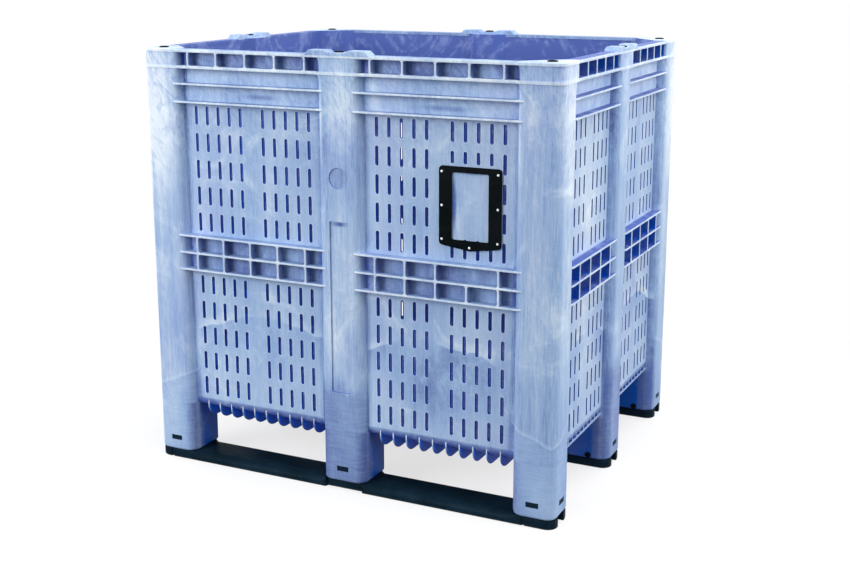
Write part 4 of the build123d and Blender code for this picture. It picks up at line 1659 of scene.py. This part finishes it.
class BOX_OT_runners(bpy.types.Operator):
    """Build the three runners with the lugs that show in the feet"""

    bl_idname = "harvest_box.runners"
    bl_label = "Runners"

    def execute(self, context):
        l = context.scene.box_legs
        b = context.scene.box_base
        finish = finish_named("runner_black")
        across = l.window_width / 2 - b.lug_play
        rise = l.window_height / 2 - b.lug_head_room
        inset = b.lug_gap + b.lug_depth
        columns = (-half_length + l.corner / 2, 0.0, half_length - l.corner / 2)
        for name, facing in (("front", -1), ("middle", 0), ("rear", 1)):
            low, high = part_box(f"runner_{name}")
            row = (low.y + high.y) / 2
            turn = Matrix.Rotation(math.pi if facing > 0 else 0.0, 4, "Z")
            parts = [runner_shape(b, l, facing != 0).moved(Matrix.Translation((0, row, 0)) @ turn)]
            spots = [(side * (half_length - inset), row, (b.lug_depth, across)) for side in (-1, 1)]
            if facing:
                spots += [(x, facing * (half_width - inset), (across, b.lug_depth)) for x in columns]
            for x, y, half in spots:
                lug = block((-half[0], -half[1], -rise), (*half, rise))
                parts.append(lug.moved(Matrix.Translation((x, y, l.window_level))))
            placed(f"snap_in_runner_{name}", merged(*parts), finish, [f"runner_{name}"])
        return {"FINISHED"}


class BOX_OT_fittings(bpy.types.Operator):
    """Build the plugs on the posts and the pins in the feet"""

    bl_idname = "harvest_box.fittings"
    bl_label = "Plugs and pins"

    def execute(self, context):
        b = context.scene.box_base
        finish = finish_named("fitting_black")
        for name in (*CORNERS, *WALL_SIDES):
            low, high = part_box(f"plug_{name}")
            head = round_head((high.x - low.x) / 2, high.z - low.z + b.head_rise, b.plug_dome)
            middle = (low + high) / 2
            shape = head.moved(Matrix.Translation((middle.x, middle.y, low.z)))
            placed(f"post_plug_{name}", shape, finish, [f"plug_{name}"])

        pins = []
        for low, high in self.islands(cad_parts["runner_pins"].data):
            head = round_head((high.x - low.x) / 2, high.y - low.y + b.head_rise, b.pin_dome)
            facing = 1 if low.y + high.y < -half_width else -1
            seat = low.y if facing > 0 else high.y
            turn = Matrix.Rotation(math.radians(-90 * facing), 4, "X")
            middle = (low + high) / 2
            pins.append(head.moved(Matrix.Translation((middle.x, seat, middle.z)) @ turn))
        placed("runner_pin_heads", merged(*pins), finish, ["runner_pins"])
        return {"FINISHED"}

    @staticmethod
    def islands(mesh):
        """Lowest and highest corners of the separate solids of a mesh."""
        work = bmesh.new()
        work.from_mesh(mesh)
        bmesh.ops.remove_doubles(work, verts=work.verts, dist=WELD)
        left = set(work.verts)
        boxes = []
        while left:
            grown = {left.pop()}
            queue = list(grown)
            while queue:
                for edge in queue.pop().link_edges:
                    for vertex in edge.verts:
                        if vertex in left:
                            left.discard(vertex)
                            grown.add(vertex)
                            queue.append(vertex)
            axes = list(zip(*[vertex.co for vertex in grown]))
            boxes.append((Vector(map(min, axes)), Vector(map(max, axes))))
        work.free()
        return sorted(boxes, key=lambda pair: tuple(round(v, 4) for v in pair[0]))


class BOX_OT_label(bpy.types.Operator):
    """Build the label frame and its rivets"""

    bl_idname = "harvest_box.label"
    bl_label = "Label frame"

    def execute(self, context):
        b = context.scene.box_base
        corners_level = label_low.z + b.label_point - b.label_tip
        middle = (label_low.x + label_high.x) / 2
        outer = [
            (label_low.x, corners_level),
            (middle, corners_level - b.label_point),
            (label_high.x, corners_level),
            (label_high.x, label_high.z),
            (label_low.x, label_high.z),
        ]
        window_low = corners_level + b.label_window_low
        window_high = window_low + b.label_window_height
        half = b.label_window_width / 2
        inner = corner_points((middle - half, window_low), (middle + half, window_high))
        curve = bpy.data.curves.new("label_frame", "CURVE")
        curve.dimensions = "2D"
        curve.fill_mode = "BOTH"
        curve.extrude = (label_high.y - label_low.y) / 2 - b.label_edge
        curve.bevel_depth = b.label_edge
        curve.bevel_resolution = 1
        for outline, radius, inset in ((outer, b.label_round, 1), (inner, b.label_window_round, -1)):
            outline = anticlockwise(rounded(outline, [radius] * len(outline)))
            spline = curve.splines.new("POLY")
            spline.points.add(len(outline) - 1)
            for point, place in zip(spline.points, shrunk(outline, inset * b.label_edge)):
                point.co = (place.x, place.y, 0, 1)
            spline.use_cyclic_u = True
        plate = finished(linked("label_curve", curve))
        upright = Matrix.Rotation(math.pi / 2, 4, "X")
        place = Matrix.Translation((0, (label_low.y + label_high.y) / 2, 0)) @ upright
        finish = finish_named("fitting_black")
        placed("label_frame_plate", plate.moved(place), finish, ["label_frame"])

        rivet_low, rivet_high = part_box("label_rivets")
        metal = finish_named("rivet_metal")
        thickness = rivet_high.y - rivet_low.y + b.rivet_rise
        head = round_head(b.rivet_radius, thickness, b.rivet_dome).moved(upright)
        across = label_high.x - label_low.x - 2 * b.rivet_inset
        up = label_high.z - corners_level - 2 * b.rivet_end
        centre = (middle, rivet_high.y, corners_level + b.rivet_end + up / 2)
        sides = repeated(head, 2, 3, across, up / 2, centre, metal)
        point = repeated(head, 1, 1, 0, 0, (middle, rivet_high.y, corners_level - b.rivet_point), metal)
        placed("label_rivet_heads", merged(sides, point), metal, ["label_rivets"])
        return {"FINISHED"}


# Lamps: place and power
LAMPS = {
    "key": ((-3.0, -4.3, 2.2), 240),
    "side": ((4.8, -0.8, 2.4), 172),
    "top": ((1.0, -0.3, 4.6), 95),
    "rear": ((1.6, 4.8, 2.2), 120),
    "left": ((-4.8, 1.6, 2.2), 120),
}
LAMP_AIM = Vector((0, 0, 0.6))
FLOOR_REACH = 30.0
FLOOR_FADE = (0.8, 1.9)  # from here to here the floor fades to plain white
FLOOR_WHITE = (0.70, 1.0)  # share of plain white near the box and far from it
SENSOR_WIDTH = 36
ROOM_LIGHT = 0.46  # light of the room on the box; the camera sees it as plain white


class BOX_OT_stage(bpy.types.Operator):
    """Set up the floor, the light and the camera"""

    bl_idname = "harvest_box.stage"
    bl_label = "Stage"

    def execute(self, context):
        scene = context.scene
        s = scene.box_stage
        scene.view_settings.view_transform = "Standard"
        self.floor(scene)
        self.world(scene)
        for name, (place, power) in LAMPS.items():
            self.lamp(name, Vector(place), s.lamp_size, power)
        camera = bpy.data.cameras.new("camera")
        camera.lens = s.lens
        camera.sensor_width = SENSOR_WIDTH
        camera.shift_x = s.shift_x
        camera.shift_y = s.shift_y
        scene.camera = linked("camera", camera)
        scene.camera.location = s.camera_place
        scene.camera.rotation_euler = (math.pi / 2 - s.tilt, 0, s.turn)
        return {"FINISHED"}

    def floor(self, scene):
        """A plain pale floor that keeps the box's shadow and throws little light back up."""
        corners = [(FLOOR_REACH * x, FLOOR_REACH * y, 0) for x, y in QUADRANTS]
        finish, p, shader = new_finish("pale_floor")
        floor = linked("floor", Shape(corners, [(0, 1, 2, 3)]).mesh("floor", finish))
        seen = self.seen(p)
        colours = scene.box_colours
        p.join(shader.inputs["Base Color"], p.mixed(seen, colours.floor_light, colours.floor))
        p.join(shader.inputs["Roughness"], 0.9)
        p.join(shader.inputs["Specular IOR Level"], 0.0)
        white = p.node("ShaderNodeEmission", {"Strength": seen}).outputs[0]
        near, far = FLOOR_WHITE
        share = p.weighed(p.between(p.away(p.places()), *FLOOR_FADE), far - near, near)
        blend = p.node("ShaderNodeMixShader", {0: share, 1: shader.outputs[0], 2: white}).outputs[0]
        p.join(p.tree.nodes["Material Output"].inputs["Surface"], blend)

    def seen(self, p):
        """1 where the camera sees a surface, also in gloss or through glass, and 0 for other light."""
        path = p.node("ShaderNodeLightPath", {}).outputs
        return p.most(p.most(path["Is Camera Ray"], path["Is Glossy Ray"]), path["Is Transmission Ray"])

    def world(self, scene):
        """White behind the box, and a softer light on it."""
        world = bpy.data.worlds.new("studio")
        world.use_nodes = True
        scene.world = world
        p = Pattern(world.node_tree)
        background = world.node_tree.nodes["Background"]
        inputs = {"Value": self.seen(p), "To Min": ROOM_LIGHT, "To Max": 1.0}
        p.join(background.inputs["Color"], (1, 1, 1, 1))
        p.join(background.inputs["Strength"], p.node("ShaderNodeMapRange", inputs).outputs[0])

    def lamp(self, name, place, size_across, power):
        """A soft square lamp that faces the middle of the box."""
        light = bpy.data.lights.new(name, "AREA")
        light.shape = "SQUARE"
        light.size = size_across
        light.energy = power
        lamp = linked(name, light)
        lamp.location = place
        lamp.rotation_euler = (LAMP_AIM - place).to_track_quat("-Z", "Y").to_euler()


PIECES = (
    BOX_OT_walls,
    BOX_OT_corner_legs,
    BOX_OT_middle_legs,
    BOX_OT_deck,
    BOX_OT_runners,
    BOX_OT_fittings,
    BOX_OT_label,
    BOX_OT_stage,
)


class BOX_PT_sidebar(bpy.types.Panel):
    """Lists the pieces of the box"""

    bl_idname = "BOX_PT_sidebar"
    bl_label = "Harvest Box"
    bl_space_type = "VIEW_3D"
    bl_region_type = "UI"
    bl_category = "Harvest Box"

    def draw(self, context):
        for piece in PIECES:
            self.layout.operator(piece.bl_idname)


GROUPS = {
    "box_walls": WallSizes,
    "box_legs": LegSizes,
    "box_base": BaseSizes,
    "box_colours": BoxColours,
    "box_stage": StageSettings,
}


def register():
    """Add the settings, the operators and the sidebar."""
    for kind in (*GROUPS.values(), *PIECES, BOX_PT_sidebar):
        bpy.utils.register_class(kind)
    for name, kind in GROUPS.items():
        setattr(bpy.types.Scene, name, PointerProperty(type=kind))


def unregister():
    """Take them away again."""
    for name in GROUPS:
        delattr(bpy.types.Scene, name)
    for kind in (BOX_PT_sidebar, *reversed(PIECES), *reversed(GROUPS.values())):
        bpy.utils.unregister_class(kind)


def main():
    """Build every piece."""
    register()
    bpy.ops.harvest_box.walls()
    bpy.ops.harvest_box.corner_legs()
    bpy.ops.harvest_box.middle_legs()
    bpy.ops.harvest_box.deck()
    bpy.ops.harvest_box.runners()
    bpy.ops.harvest_box.fittings()
    bpy.ops.harvest_box.label()
    bpy.ops.harvest_box.stage()


if __name__ == "__main__":
    main()
